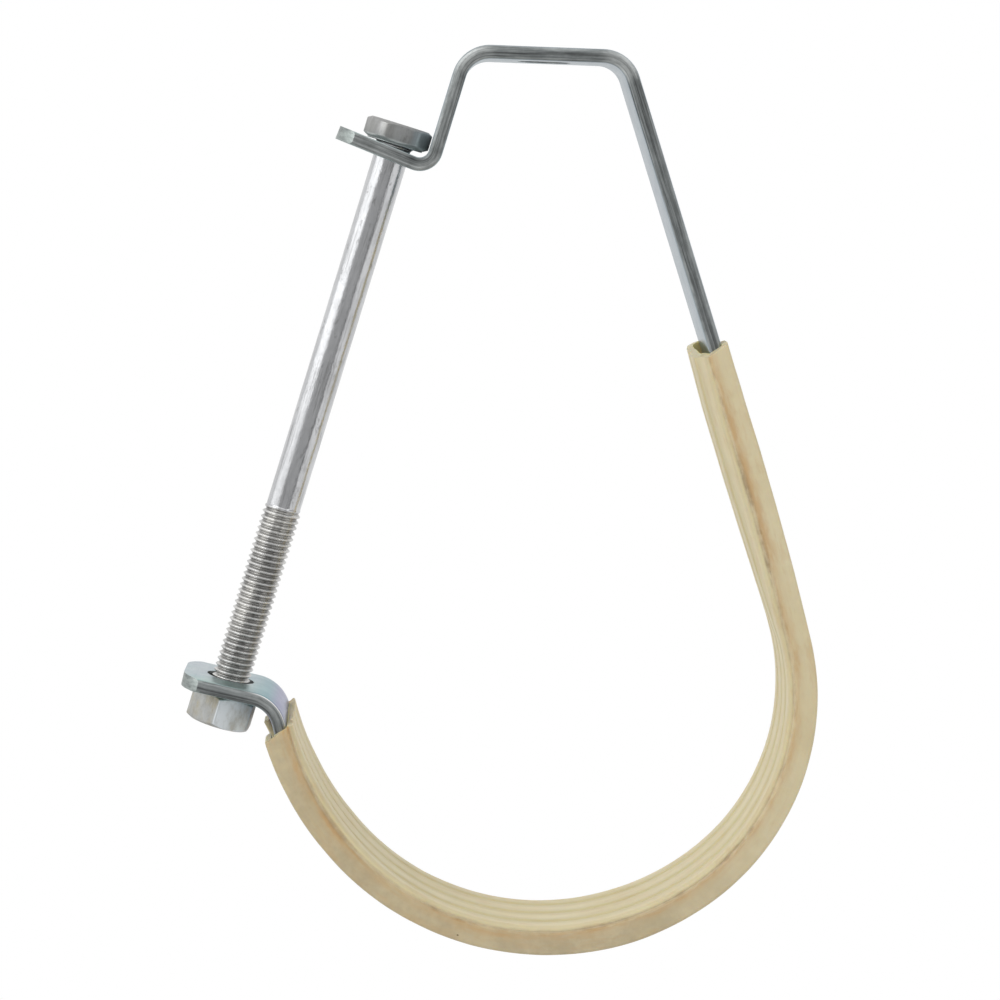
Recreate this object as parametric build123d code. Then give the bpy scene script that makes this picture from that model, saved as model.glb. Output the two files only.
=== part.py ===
from build123d import *
import math
import os

# J pipe hanger: one folded steel strap that hangs from a threaded rod, a soft lining
# pushed over its jaw, and a long side bolt with a nut that closes the jaw.
# Millimetres. The origin is the centre of the rod hole on top of the bar, +Z runs up
# along the rod, +X runs along the bar towards the long leg, and the front faces -Y.

os.makedirs("parts", exist_ok=True)

# Strap stock: flat strip with rolled, rounded edges
strip_width = 25.0
strip_thick = 2.8
strip_edge_round = 0.8
strip_edge_flats = 3

# Top bar and the hole for the hanging rod
rod_size = 10.0
rod_clearance = 0.5
bar_length = 32.5
bar_bend_inner = 5.1

# Long leg, from the right end of the bar down to the jaw
long_leg_lean = 19.35
long_leg_straight = 77.8
long_leg_bow_length = 42.6
long_leg_bow_radius = 700.0

# Jaw: a tighter side arc, the arc that the pipe lies in, and a short straight, all on the
# strip's middle line
jaw_side_radius = 49.9
jaw_side_turn = 67.3
jaw_seat_radius = 56.1
jaw_seat_turn = 113.2
jaw_end_straight = 2.6

# Lower tab, folded out from the open end of the jaw
low_bend_inner = 5.8
low_tab_slope = 11.5
low_hole_from_bend = 5.7
low_tip_from_hole = 9.6

# Short leg and upper tab, folded down and out from the left end of the bar
short_leg_lean = 15.1
short_leg_straight = 16.5
up_bend_inner = 2.0
up_tab_slope = 20.0
up_hole_from_bend = 4.9
up_tip_from_hole = 11.85

# Tab ends: each corner is sheared back on an arc that meets the strip's edge at an angle
tab_end_arc = 9.0
tab_end_setback = 3.6
bolt_hole_clearance = 1.0

# Side bolt and nut
bolt_size = 8.0
bolt_end_inset = 1.61
bolt_thread_length = 46.0
bolt_shank_size = 7.2
bolt_point_chamfer = 0.9
hex_across_flats = 13.0
head_across_corners = 14.0
head_height = 4.4
head_washer_face = 0.3
nut_height = 6.8
hex_face_across = 12.1
hex_chamfer_angle = 30.0
head_turn_angle = 3.5
nut_turn_angle = 25.0
thread_fit = 0.05
nut_countersink = 0.5
seat_gap = 0.1

# Lining: a soft channel around the strap, with a grooved pad towards the pipe
lining_clearance = 0.05
lining_wall = 1.45
lining_lip_thick = 1.2
lining_lip_reach = 6.0
lining_pad_thick = 1.8
lining_gape = 1.9
lining_gape_degree = 3
lining_corner_cut = 0.5
lining_shoulder_drop = 1.3
lining_shoulder_width = 1.5
groove_count = 3
groove_pitch = 7.9
groove_width = 1.7
groove_depth = 0.45
lining_on_leg = 63.5
lining_leg_sections = 7
lining_end_on_straight = 1.5
lining_end_slant = 18.0

# How far a cutter runs past the face that it cuts
cutter_overrun = 1.0

# Sizes worked out from the driving dimensions
half_thick = strip_thick / 2
bar_bend_radius = bar_bend_inner + half_thick
low_bend_radius = low_bend_inner + half_thick
up_bend_radius = up_bend_inner + half_thick
long_leg_bow_turn = math.degrees(long_leg_bow_length / long_leg_bow_radius)
rod_hole_size = rod_size + 2 * rod_clearance
bolt_hole_size = bolt_size + 2 * bolt_hole_clearance
hex_face_radius = hex_face_across / 2


class StripPath:
    """Middle line of the strip in the XZ plane, laid down as straights and bends."""

    def __init__(self, point, heading):
        self.point = Vector(*point)
        self.heading = heading
        self.edges = []
        self.stations = [(self.point, heading)]

    def ahead(self, distance, turn=0.0):
        """Point that lies a distance away along the heading, turned by some degrees."""
        angle = math.radians(self.heading + turn)
        return self.point + Vector(math.cos(angle), 0, math.sin(angle)) * distance

    def straight(self, length):
        end = self.ahead(length)
        self.edges.append(Edge.make_line(self.point, end))
        self.point = end
        self.stations.append((end, self.heading))
        return self

    def bend(self, radius, turn):
        """Arc of a middle-line radius; a positive turn goes anticlockwise in the XZ plane."""
        side = math.copysign(1.0, turn)
        chord = 2 * radius * math.sin(math.radians(abs(turn)) / 2)
        half_chord = 2 * radius * math.sin(math.radians(abs(turn)) / 4)
        middle = self.ahead(half_chord, side * abs(turn) / 4)
        end = self.ahead(chord, turn / 2)
        self.edges.append(Edge.make_three_point_arc(self.point, middle, end))
        self.point = end
        self.heading += turn
        self.stations.append((end, self.heading))
        return self

    def wire(self):
        return Wire(self.edges)


def strip_plane(point, heading):
    """Plane across the strip: x runs along the depth, y points to the right of the heading."""
    angle = math.radians(heading)
    forward = Vector(math.cos(angle), 0, math.sin(angle))
    return Plane(origin=point, x_dir=Vector(0, -1, 0), z_dir=forward)


def tab_plane(point, heading):
    """Plane that lies in a tab: x runs along the heading, y across the strip."""
    angle = math.radians(heading)
    along = Vector(math.cos(angle), 0, math.sin(angle))
    return Plane(origin=point, x_dir=along, z_dir=along.cross(Vector(0, 1, 0)))


def long_side_path():
    """Bar centre, long leg, jaw and lower tab."""
    turn = 90 - long_leg_lean
    tangent = bar_bend_radius * math.tan(math.radians(turn) / 2)
    path = StripPath((0, 0, -half_thick), 0)
    path.straight(bar_length / 2 - tangent).bend(bar_bend_radius, -turn)
    path.straight(long_leg_straight).bend(long_leg_bow_radius, -long_leg_bow_turn)
    path.bend(jaw_side_radius, -jaw_side_turn).bend(jaw_seat_radius, -jaw_seat_turn)
    path.straight(jaw_end_straight)
    fold = -180 - low_tab_slope - path.heading
    path.bend(low_bend_radius, fold)
    path.straight(low_hole_from_bend + low_tip_from_hole)
    return path


def short_side_path():
    """Bar centre, short leg and upper tab."""
    turn = 90 - short_leg_lean
    tangent = bar_bend_radius * math.tan(math.radians(turn) / 2)
    path = StripPath((0, 0, -half_thick), 180)
    path.straight(bar_length / 2 - tangent).bend(bar_bend_radius, turn)
    path.straight(short_leg_straight)
    fold = 180 - up_tab_slope - path.heading
    path.bend(up_bend_radius, fold)
    path.straight(up_hole_from_bend + up_tip_from_hole)
    return path


long_path = long_side_path()
short_path = short_side_path()
low_tab_start = long_path.stations[-2]
up_tab_start = short_path.stations[-2]


def along(station, distance):
    """Point on a straight that starts at a station."""
    point, heading = station
    angle = math.radians(heading)
    return point + Vector(math.cos(angle), 0, math.sin(angle)) * distance


low_hole = along(low_tab_start, low_hole_from_bend)
up_hole = along(up_tab_start, up_hole_from_bend)
bolt_up = (up_hole - low_hole).normalized()


def tab_normal(station):
    """Direction square to a tab, upwards."""
    angle = math.radians(station[1])
    return Vector(math.sin(angle), 0, -math.cos(angle))


def bolt_to_face(station):
    """Distance along the bolt from a tab's middle line to its face."""
    return half_thick / bolt_up.dot(tab_normal(station))


def bolt_tilt(station):
    """Angle in degrees between the bolt and a tab's normal."""
    return math.degrees(math.acos(bolt_up.dot(tab_normal(station))))


def face_rise(station):
    """How far the rim of a hexagon's end face makes it stand off a tilted tab, on the axis."""
    return hex_face_radius * math.tan(math.radians(bolt_tilt(station)))


head_seat = up_hole + bolt_up * (bolt_to_face(up_tab_start) + face_rise(up_tab_start) + seat_gap)
nut_top = low_hole - bolt_up * (bolt_to_face(low_tab_start) + face_rise(low_tab_start) + seat_gap)
bolt_length = (head_seat - nut_top).length + nut_height - bolt_end_inset


def bolt_plane(origin):
    """Plane square to the bolt: z runs up its axis and y away from the front."""
    return Plane(origin=origin, x_dir=Vector(0, 1, 0).cross(bolt_up), z_dir=bolt_up)


def strip_section():
    """Strip section, with each rolled edge laid out as flats along its round."""
    step = 90 / strip_edge_flats
    outline = []
    for quarter in range(4):
        side = 1 if quarter in (0, 3) else -1
        face = 1 if quarter in (0, 1) else -1
        centre_x = side * (strip_width / 2 - strip_edge_round)
        centre_y = face * (strip_thick / 2 - strip_edge_round)
        for number in range(strip_edge_flats + 1):
            angle = math.radians(90 * quarter + number * step)
            x = centre_x + strip_edge_round * math.cos(angle)
            y = centre_y + strip_edge_round * math.sin(angle)
            outline.append((x, y))
    return make_face(Polyline(outline, close=True))


def strip_length(path):
    """Strip swept along one side of the strap."""
    point, heading = path.stations[0]
    return sweep(strip_plane(point, heading) * strip_section(), path=path.wire())


def tab_end_offcut(point, heading):
    """What the shears take off around a tab's end, with the tip at the given point."""
    half_width = strip_width / 2
    lean = math.acos(1 - tab_end_setback / tab_end_arc)
    flat = half_width - tab_end_arc * math.sin(lean)
    beyond = strip_thick + cutter_overrun
    reach = half_width + beyond
    mid_lean = lean / 2
    edge = Vector(-tab_end_setback, half_width)
    middle = Vector(
        -tab_end_arc * (1 - math.cos(mid_lean)), flat + tab_end_arc * math.sin(mid_lean)
    )
    out = edge + Vector(-math.sin(lean), math.cos(lean)) * beyond
    outline = [
        Line((beyond, -reach), (out.X, -reach)),
        Line((out.X, -reach), (out.X, -out.Y)),
        Line((out.X, -out.Y), (edge.X, -edge.Y)),
        ThreePointArc((edge.X, -edge.Y), (middle.X, -middle.Y), (0, -flat)),
        Line((0, -flat), (0, flat)),
        ThreePointArc((0, flat), (middle.X, middle.Y), (edge.X, edge.Y)),
        Line((edge.X, edge.Y), (out.X, out.Y)),
        Line((out.X, out.Y), (out.X, reach)),
        Line((out.X, reach), (beyond, reach)),
        Line((beyond, reach), (beyond, -reach)),
    ]
    face = tab_plane(point, heading) * make_face(outline)
    return extrude(face, amount=strip_thick, both=True)


def hole_through(point, heading, diameter):
    """Round punch square to the strip at a point."""
    return tab_plane(point, heading) * Cylinder(diameter / 2, strip_thick + 2 * cutter_overrun)


def make_strap():
    strap = strip_length(long_path) + strip_length(short_path)
    strap -= hole_through(*long_path.stations[0], rod_hole_size)
    for path, hole in ((long_path, low_hole), (short_path, up_hole)):
        tip, heading = path.stations[-1]
        strap -= tab_end_offcut(tip, heading)
        strap -= hole_through(hole, heading, bolt_hole_size)
    return strap


def groove_centres():
    """Places of the pad's grooves across the lining."""
    first = -(groove_count - 1) / 2 * groove_pitch
    return [first + number * groove_pitch for number in range(groove_count)]


def lining_section(crown):
    """Channel section: x across the strap, y towards the pipe, the pad arched by a crown."""
    slot_half = strip_width / 2 + lining_clearance
    outer_half = slot_half + lining_wall
    slot_floor = half_thick + lining_clearance
    pad_half = outer_half - lining_shoulder_width
    pad_face = slot_floor + lining_pad_thick
    shoulder = pad_face - lining_shoulder_drop
    lip_face = slot_floor + lining_lip_thick
    lip_edge = slot_half - lining_lip_reach

    def arched(x, level):
        return (x, level + crown * (1 - (x / slot_half) ** 2))

    pad = []
    for centre in groove_centres():
        pad.append(arched(centre - groove_width / 2, pad_face))
        pad.append(arched(centre, pad_face - groove_depth))
        pad.append(arched(centre + groove_width / 2, pad_face))
    slot_top = [arched(centre, slot_floor) for centre in groove_centres()]
    left = [
        (-slot_half, slot_floor),
        (-slot_half, -slot_floor),
        (-lip_edge, -slot_floor),
        (-lip_edge, -lip_face),
        (lining_corner_cut - outer_half, -lip_face),
        (-outer_half, lining_corner_cut - lip_face),
        (-outer_half, shoulder),
        (-pad_half, pad_face),
    ]
    right = [(-x, y) for x, y in reversed(left)]
    return make_face(Polyline(left + pad + right + slot_top[::-1], close=True))


def placed_section(point, heading, crown):
    """Lining section across the strip; its pad faces the jaw's inside, right of the path."""
    return strip_plane(point, heading) * lining_section(crown)


def leg_section(distance):
    """Lining section at a distance down from the lining's top end, arched where it gapes."""
    top = lining_on_leg - long_leg_bow_length
    start, heading = long_path.stations[3]
    path = StripPath(along((start, heading), min(distance, top) - top), heading)
    if distance > top:
        turn = math.degrees((distance - top) / long_leg_bow_radius)
        path.bend(long_leg_bow_radius, -turn)
    crown = lining_gape * (1 - (distance / lining_on_leg) ** lining_gape_degree)
    return placed_section(path.point, path.heading, crown)


def lining_end_cut():
    """Block that trims the lining's lower end on a slant, the pad left longer than the lips."""
    start, heading = long_path.stations[-4]
    middle = along((start, heading), lining_end_on_straight)
    block = extrude(Rectangle(2 * strip_width, strip_width), amount=strip_width)
    return strip_plane(middle, heading + lining_end_slant) * block


def make_lining():
    """Channel swept round the jaw, and its upper stretch that springs open up the leg."""
    point, heading = long_path.stations[4]
    jaw = StripPath(point, heading)
    jaw.bend(jaw_side_radius, -jaw_side_turn).bend(jaw_seat_radius, -jaw_seat_turn)
    jaw.straight(jaw_end_straight)
    round_jaw = sweep(placed_section(point, heading, 0), path=jaw.wire()) - lining_end_cut()
    step = lining_on_leg / (lining_leg_sections - 1)
    sections = [leg_section(number * step) for number in range(lining_leg_sections)]
    return round_jaw + loft(sections, ruled=True)


def hexagon(height):
    """Hexagon whose corners are taken down by a cone at both ends."""
    outer = hex_across_flats / 2 + 2 * cutter_overrun
    drop = (outer - hex_face_radius) * math.tan(math.radians(hex_chamfer_angle))
    points = [
        (0, 0), (hex_face_radius, 0), (outer, drop),
        (outer, height - drop), (hex_face_radius, height), (0, height),
    ]
    outline = Polyline([Vector(x, 0, z) for x, z in points], close=True)
    cones = revolve(make_face(outline), axis=Axis.Z)
    flats = RegularPolygon(hex_across_flats / 2, 6, major_radius=False)
    return extrude(flats, amount=height) & cones


def make_side_bolt():
    corner_stock = extrude(Circle(head_across_corners / 2), amount=head_height)
    hex_part = hexagon(head_height - head_washer_face) & corner_stock
    head = Rot(0, 0, head_turn_angle) * Pos(0, 0, head_washer_face) * hex_part
    head += extrude(Circle(hex_face_radius), amount=head_washer_face)
    shank_length = bolt_length - bolt_thread_length
    shank = extrude(Circle(bolt_shank_size / 2), amount=-shank_length)
    thread = Pos(0, 0, -shank_length) * extrude(
        Circle(bolt_size / 2), amount=-bolt_thread_length
    )
    thread = chamfer(thread.edges().sort_by(Axis.Z)[0], bolt_point_chamfer)
    return bolt_plane(head_seat) * (head + shank + thread)


def make_hex_nut():
    bore = bolt_size / 2 + thread_fit
    rim = bore + nut_countersink
    low = nut_countersink / 2
    nut = hexagon(nut_height) - extrude(Circle(bore), amount=nut_height)
    for level, below, above in ((low, rim, bore), (nut_height - low, bore, rim)):
        nut -= Pos(0, 0, level) * Cone(below, above, nut_countersink)
    return bolt_plane(nut_top - bolt_up * nut_height) * (Rot(0, 0, nut_turn_angle) * nut)


export_step(make_strap(), "parts/strap.step")
export_step(make_lining(), "parts/lining.step")
export_step(make_side_bolt(), "parts/side_bolt.step")
export_step(make_hex_nut(), "parts/hex_nut.step")
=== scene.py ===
import logging
import math
from dataclasses import dataclass, field
from enum import Enum
from typing import Callable, Sequence

import bmesh
import bpy
import numpy as np
from mathutils import Matrix, Vector


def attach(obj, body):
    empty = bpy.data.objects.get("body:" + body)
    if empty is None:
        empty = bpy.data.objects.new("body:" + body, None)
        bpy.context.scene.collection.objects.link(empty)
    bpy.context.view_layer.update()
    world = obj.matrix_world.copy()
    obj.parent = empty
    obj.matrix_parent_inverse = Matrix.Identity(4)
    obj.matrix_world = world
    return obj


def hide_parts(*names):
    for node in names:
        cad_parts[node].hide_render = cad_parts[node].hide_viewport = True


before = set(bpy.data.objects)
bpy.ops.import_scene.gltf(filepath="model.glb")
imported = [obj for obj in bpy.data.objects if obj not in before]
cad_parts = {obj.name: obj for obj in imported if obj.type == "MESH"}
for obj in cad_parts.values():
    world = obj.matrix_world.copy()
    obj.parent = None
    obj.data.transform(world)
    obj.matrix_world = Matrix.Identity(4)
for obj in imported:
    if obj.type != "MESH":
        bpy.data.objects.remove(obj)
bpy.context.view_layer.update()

MM = 0.001
TAU = 2 * math.pi
LOG = logging.getLogger("hanger")

Point2 = tuple[float, float]
Colour = tuple[float, float, float]


class Body(Enum):
    """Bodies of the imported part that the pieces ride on."""

    HANGER = "hanger"
    BOLT = "bolt"
    NUT = "nut"


class Slot(Enum):
    """Material slots of the record."""

    STRAP = "strap"
    LINING = "lining"
    SIDE_BOLT = "side_bolt"
    HEX_NUT = "hex_nut"


# ---------------------------------------------------------------- small helpers


def linear(red: int, green: int, blue: int) -> tuple[float, float, float, float]:
    """Turns a colour written as 0 to 255 into the linear one that a shader takes.

    Args:
        red: Red, 0 to 255.
        green: Green, 0 to 255.
        blue: Blue, 0 to 255.

    Returns:
        The linear colour with an alpha of 1.
    """
    out = []
    for value in (red, green, blue):
        share = value / 255
        out.append(share / 12.92 if share <= 0.04045 else ((share + 0.055) / 1.055) ** 2.4)
    return (*out, 1.0)


def rounded_line(corners: Sequence[tuple[float, float, float]], steps: int, closed: bool) -> list[Point2]:
    """Lays out a line of points whose corners are rounded.

    Args:
        corners: Each corner as x, y and its radius; a radius of 0 keeps it sharp.
        steps: Number of chords in each rounded corner.
        closed: Whether the line runs back to its first corner.

    Returns:
        The points in order.
    """
    points: list[Point2] = []
    count = len(corners)
    for index, (x, y, radius) in enumerate(corners):
        inside = closed or 0 < index < count - 1
        if radius <= 0 or not inside:
            points.append((x, y))
            continue
        here = Vector((x, y))
        back = Vector(corners[index - 1][:2]) - here
        ahead = Vector(corners[(index + 1) % count][:2]) - here
        turn = math.pi - back.angle(ahead)
        reach = radius * math.tan(turn / 2)
        start = here + back.normalized() * reach
        end = here + ahead.normalized() * reach
        centre = here + (back.normalized() + ahead.normalized()).normalized() * math.hypot(radius, reach)
        first = math.atan2(start.y - centre.y, start.x - centre.x)
        last = math.atan2(end.y - centre.y, end.x - centre.x)
        sweep = (last - first + math.pi) % TAU - math.pi
        for number in range(steps + 1):
            angle = first + sweep * number / steps
            points.append((centre.x + radius * math.cos(angle), centre.y + radius * math.sin(angle)))
    return points


def new_object(name: str, verts: Sequence[Sequence[float]], faces: Sequence[Sequence[int]]) -> bpy.types.Object:
    """Makes a mesh object at the origin from points in millimetres.

    Args:
        name: Name of the object and its mesh.
        verts: Points in millimetres.
        faces: Corner numbers of each face.

    Returns:
        The new object, linked into the scene.
    """
    mesh = bpy.data.meshes.new(name)
    mesh.from_pydata([tuple(c * MM for c in v) for v in verts], [], [tuple(f) for f in faces])
    mesh.validate()
    obj = bpy.data.objects.new(name, mesh)
    bpy.context.scene.collection.objects.link(obj)
    return obj


def edit_mesh(obj: bpy.types.Object, work: Callable[[bmesh.types.BMesh], None]) -> None:
    """Runs one piece of work on an object's mesh.

    Args:
        obj: The object whose mesh is changed.
        work: What is done to the mesh while it is open.
    """
    mesh = bmesh.new()
    mesh.from_mesh(obj.data)
    work(mesh)
    mesh.to_mesh(obj.data)
    mesh.free()
    obj.data.update()


def turn_outwards(mesh: bmesh.types.BMesh) -> None:
    """Merges doubled points and points every face outwards."""
    bmesh.ops.remove_doubles(mesh, verts=mesh.verts[:], dist=0.002 * MM)
    bmesh.ops.recalc_face_normals(mesh, faces=mesh.faces[:])


def smooth_by_angle(obj: bpy.types.Object, degrees: float) -> None:
    """Shades an object smooth, apart from edges sharper than an angle.

    Args:
        obj: The object to shade.
        degrees: Angle between two faces from which their edge stays sharp.
    """
    obj.data.shade_smooth()
    obj.data.set_sharp_from_angle(angle=math.radians(degrees))


def stretch_blank(name: str, outline: Sequence[Point2], levels: Sequence[float]) -> bpy.types.Object:
    """Draws a section out straight along Z, with a ring of points at each level.

    Args:
        name: Name of the object.
        outline: Closed section in millimetres, x across and y through it.
        levels: Heights of the rings in millimetres.

    Returns:
        The straight blank, closed at both ends.
    """
    around = len(outline)
    verts = [(x, y, z) for z in levels for x, y in outline]
    faces: list[Sequence[int]] = []
    for row in range(len(levels) - 1):
        for col in range(around):
            a = row * around + col
            b = row * around + (col + 1) % around
            faces.append((a, b, b + around, a + around))
    faces.append(tuple(reversed(range(around))))
    top = (len(levels) - 1) * around
    faces.append(tuple(range(top, top + around)))
    obj = new_object(name, verts, faces)
    edit_mesh(obj, turn_outwards)
    return obj


def spread(stops: Sequence[float], spacing: Sequence[float]) -> list[float]:
    """Divides the stretches between stops into even steps.

    Args:
        stops: Places in order.
        spacing: Longest step wanted in each stretch.

    Returns:
        All the places, stops among them.
    """
    out = [stops[0]]
    for start, end, step in zip(stops, stops[1:], spacing):
        count = max(1, math.ceil((end - start) / step))
        out += [start + (end - start) * number / count for number in range(1, count + 1)]
    return out


def cut_with(obj: bpy.types.Object, cutters: Sequence[bpy.types.Object]) -> None:
    """Takes the cutters out of an object and removes them.

    Args:
        obj: The object to cut.
        cutters: Closed objects that are taken away from it.
    """
    for cutter in cutters:
        step = obj.modifiers.new("cut", "BOOLEAN")
        step.operation = "DIFFERENCE"
        step.solver = "EXACT"
        step.object = cutter
    obj.data = plain_mesh(obj)
    obj.modifiers.clear()
    for cutter in cutters:
        bpy.data.objects.remove(cutter)


def plain_mesh(obj: bpy.types.Object) -> bpy.types.Mesh:
    """Reads an object's mesh with its modifiers worked out."""
    graph = bpy.context.evaluated_depsgraph_get()
    graph.update()
    return bpy.data.meshes.new_from_object(obj.evaluated_get(graph), depsgraph=graph)


def join_all(name: str, parts: Sequence[bpy.types.Object]) -> bpy.types.Object:
    """Joins several objects' meshes into one object at the origin.

    Args:
        name: Name of the joined object.
        parts: The objects, whose places are in their matrices.

    Returns:
        The joined object.
    """
    mesh = bmesh.new()
    for part in parts:
        part.data.transform(part.matrix_basis)
        mesh.from_mesh(part.data)
        bpy.data.objects.remove(part)
    data = bpy.data.meshes.new(name)
    mesh.to_mesh(data)
    mesh.free()
    obj = bpy.data.objects.new(name, data)
    bpy.context.scene.collection.objects.link(obj)
    return obj


def note_straight(obj: bpy.types.Object) -> None:
    """Keeps each point's place as it was made, for finishes that follow the piece.

    Args:
        obj: The object, before it goes to its place.
    """
    mesh = obj.data
    places = np.zeros(len(mesh.vertices) * 3, np.float32)
    mesh.vertices.foreach_get("co", places)
    mesh.attributes.new("straight", "FLOAT_VECTOR", "POINT").data.foreach_set("vector", places)


# ---------------------------------------------------------------- node helpers


class Graph:
    """Adds and joins nodes in one tree."""

    def __init__(self, tree: bpy.types.NodeTree) -> None:
        """Keeps the tree to work on."""
        self.tree = tree

    def put(self, kind: str, wires: dict | None = None, **settings: object) -> bpy.types.Node:
        """Adds a node, sets it up and wires its inputs.

        Args:
            kind: Blender's name of the node type.
            wires: Values or output sockets for inputs, by name or number.
            settings: Properties of the node.

        Returns:
            The new node.
        """
        node = self.tree.nodes.new(kind)
        for key, value in settings.items():
            setattr(node, key, value)
        for key, value in (wires or {}).items():
            socket = node.inputs[key]
            if isinstance(value, bpy.types.NodeSocket):
                self.tree.links.new(value, socket)
            else:
                socket.default_value = value
        return node

    def math(self, operation: str, *values: object) -> bpy.types.NodeSocket:
        """Adds a Math node and returns its result."""
        node = self.put("ShaderNodeMath", dict(enumerate(values)), operation=operation)
        return node.outputs[0]

    def vector(self, operation: str, *values: object) -> bpy.types.NodeSocket:
        """Adds a Vector Math node and returns its vector."""
        node = self.put("ShaderNodeVectorMath", dict(enumerate(values)), operation=operation)
        return node.outputs[0]

    def scaled(self, vector: object, factor: object) -> bpy.types.NodeSocket:
        """Multiplies a vector by a number."""
        node = self.put("ShaderNodeVectorMath", {0: vector, "Scale": factor}, operation="SCALE")
        return node.outputs[0]

    def split(self, vector: bpy.types.NodeSocket) -> list[bpy.types.NodeSocket]:
        """Takes a vector apart into its x, y and z."""
        return list(self.put("ShaderNodeSeparateXYZ", {0: vector}).outputs)

    def join(self, x: object, y: object, z: object) -> bpy.types.NodeSocket:
        """Makes a vector from x, y and z."""
        return self.put("ShaderNodeCombineXYZ", {0: x, 1: y, 2: z}).outputs[0]

    def remap(self, value: object, low: float, high: float, to_low: float = 0.0, to_high: float = 1.0,
              smooth: bool = False) -> bpy.types.NodeSocket:
        """Maps a range of values onto another and holds it there.

        Args:
            value: Value or socket to map.
            low: Start of the range.
            high: End of the range.
            to_low: What the start becomes.
            to_high: What the end becomes.
            smooth: Whether the map eases in and out.

        Returns:
            The mapped value.
        """
        kind = "SMOOTHSTEP" if smooth else "LINEAR"
        wires = {0: value, 1: low, 2: high, 3: to_low, 4: to_high}
        node = self.put("ShaderNodeMapRange", wires, interpolation_type=kind)
        return node.outputs[0]

    def window(self, value: object, low: float, high: float, soft: float) -> bpy.types.NodeSocket:
        """Gives 1 between two values and 0 beyond them, with soft borders.

        Args:
            value: Value or socket to test.
            low: Start of the window.
            high: End of the window.
            soft: Half the width of each border.

        Returns:
            The window's value.
        """
        rise = self.remap(value, low - soft, low + soft, smooth=True)
        fall = self.remap(value, high - soft, high + soft, 1.0, 0.0, smooth=True)
        return self.math("MULTIPLY", rise, fall)

    def noise(self, vector: object, scale: float, detail: float = 3.0, rough: float = 0.5) -> bpy.types.NodeSocket:
        """Adds a noise of a scale and returns its value."""
        wires = {"Vector": vector, "Scale": scale, "Detail": detail, "Roughness": rough}
        return self.put("ShaderNodeTexNoise", wires).outputs[0]

    def blend(self, share: object, first: object, second: object, way: str = "MIX") -> bpy.types.NodeSocket:
        """Mixes two colours.

        Args:
            share: How much of the second is used.
            first: First colour.
            second: Second colour.
            way: How they are mixed.

        Returns:
            The mixed colour.
        """
        node = self.put("ShaderNodeMix", {0: share, 6: first, 7: second}, data_type="RGBA", blend_type=way)
        return node.outputs[2]

    def group(self, tree: bpy.types.NodeTree, wires: dict) -> bpy.types.Node:
        """Places a node group and wires it."""
        kind = "GeometryNodeGroup" if self.tree.bl_idname == "GeometryNodeTree" else "ShaderNodeGroup"
        return self.put(kind, wires, node_tree=tree)


def new_group(name: str, kind: str, takes: dict[str, str], gives: dict[str, str]) -> tuple[Graph, bpy.types.Node, bpy.types.Node]:
    """Starts a node group with named sockets.

    Args:
        name: Name of the group.
        kind: Blender's name of the tree type.
        takes: Inputs, each name with its socket type.
        gives: Outputs, each name with its socket type.

    Returns:
        The graph, its input node and its output node.
    """
    tree = bpy.data.node_groups.new(name, kind)
    for label, socket in takes.items():
        tree.interface.new_socket(label, in_out="INPUT", socket_type=socket)
    for label, socket in gives.items():
        tree.interface.new_socket(label, in_out="OUTPUT", socket_type=socket)
    graph = Graph(tree)
    return graph, graph.put("NodeGroupInput"), graph.put("NodeGroupOutput")


FLOAT = "NodeSocketFloat"
INTEGER = "NodeSocketInt"
VECTOR = "NodeSocketVector"
COLOUR = "NodeSocketColor"
GEOMETRY = "NodeSocketGeometry"
OBJECT = "NodeSocketObject"
MATERIAL = "NodeSocketMaterial"


def run_tree(obj: bpy.types.Object, tree: bpy.types.NodeTree, values: dict[str, object]) -> None:
    """Runs a Geometry Nodes tree on an object and keeps the result as a plain mesh.

    Args:
        obj: The object that carries the tree.
        tree: The tree to run.
        values: Its named inputs.
    """
    step = obj.modifiers.new(tree.name, "NODES")
    step.node_group = tree
    for item in tree.interface.items_tree:
        if item.in_out == "INPUT" and item.name in values:
            step[item.identifier] = values[item.name]
    result = plain_mesh(obj)
    obj.modifiers.clear()
    obj.data = result


# ---------------------------------------------------------------- the bent strip


@dataclass
class BentLine:
    """Middle line of the strip in the XZ plane, laid down as straights and bends, in millimetres."""

    heading: float
    points: list[Point2]
    run: float = 0.0
    stops: list[float] = field(default_factory=lambda: [0.0])

    def straight(self, length: float) -> "BentLine":
        """Goes straight ahead for a length."""
        x, z = self.points[-1]
        angle = math.radians(self.heading)
        self.points.append((x + length * math.cos(angle), z + length * math.sin(angle)))
        return self.note(length)

    def bend(self, radius: float, turn: float) -> "BentLine":
        """Goes round an arc.

        Args:
            radius: Radius of the middle line.
            turn: Degrees turned; positive goes anticlockwise as seen from the front.

        Returns:
            This line.
        """
        x, z = self.points[-1]
        side = math.copysign(1.0, turn)
        start = math.radians(self.heading - 90 * side)
        centre = (x - radius * math.cos(start), z - radius * math.sin(start))
        length = radius * math.radians(abs(turn))
        count = max(2, math.ceil(abs(turn) / 1.0), math.ceil(length / 0.8))
        for number in range(1, count + 1):
            angle = start + math.radians(turn) * number / count
            self.points.append((centre[0] + radius * math.cos(angle), centre[1] + radius * math.sin(angle)))
        self.heading += turn
        return self.note(length)

    def note(self, length: float) -> "BentLine":
        """Notes how far the line has run."""
        self.run += length
        self.stops.append(self.run)
        return self


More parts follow.
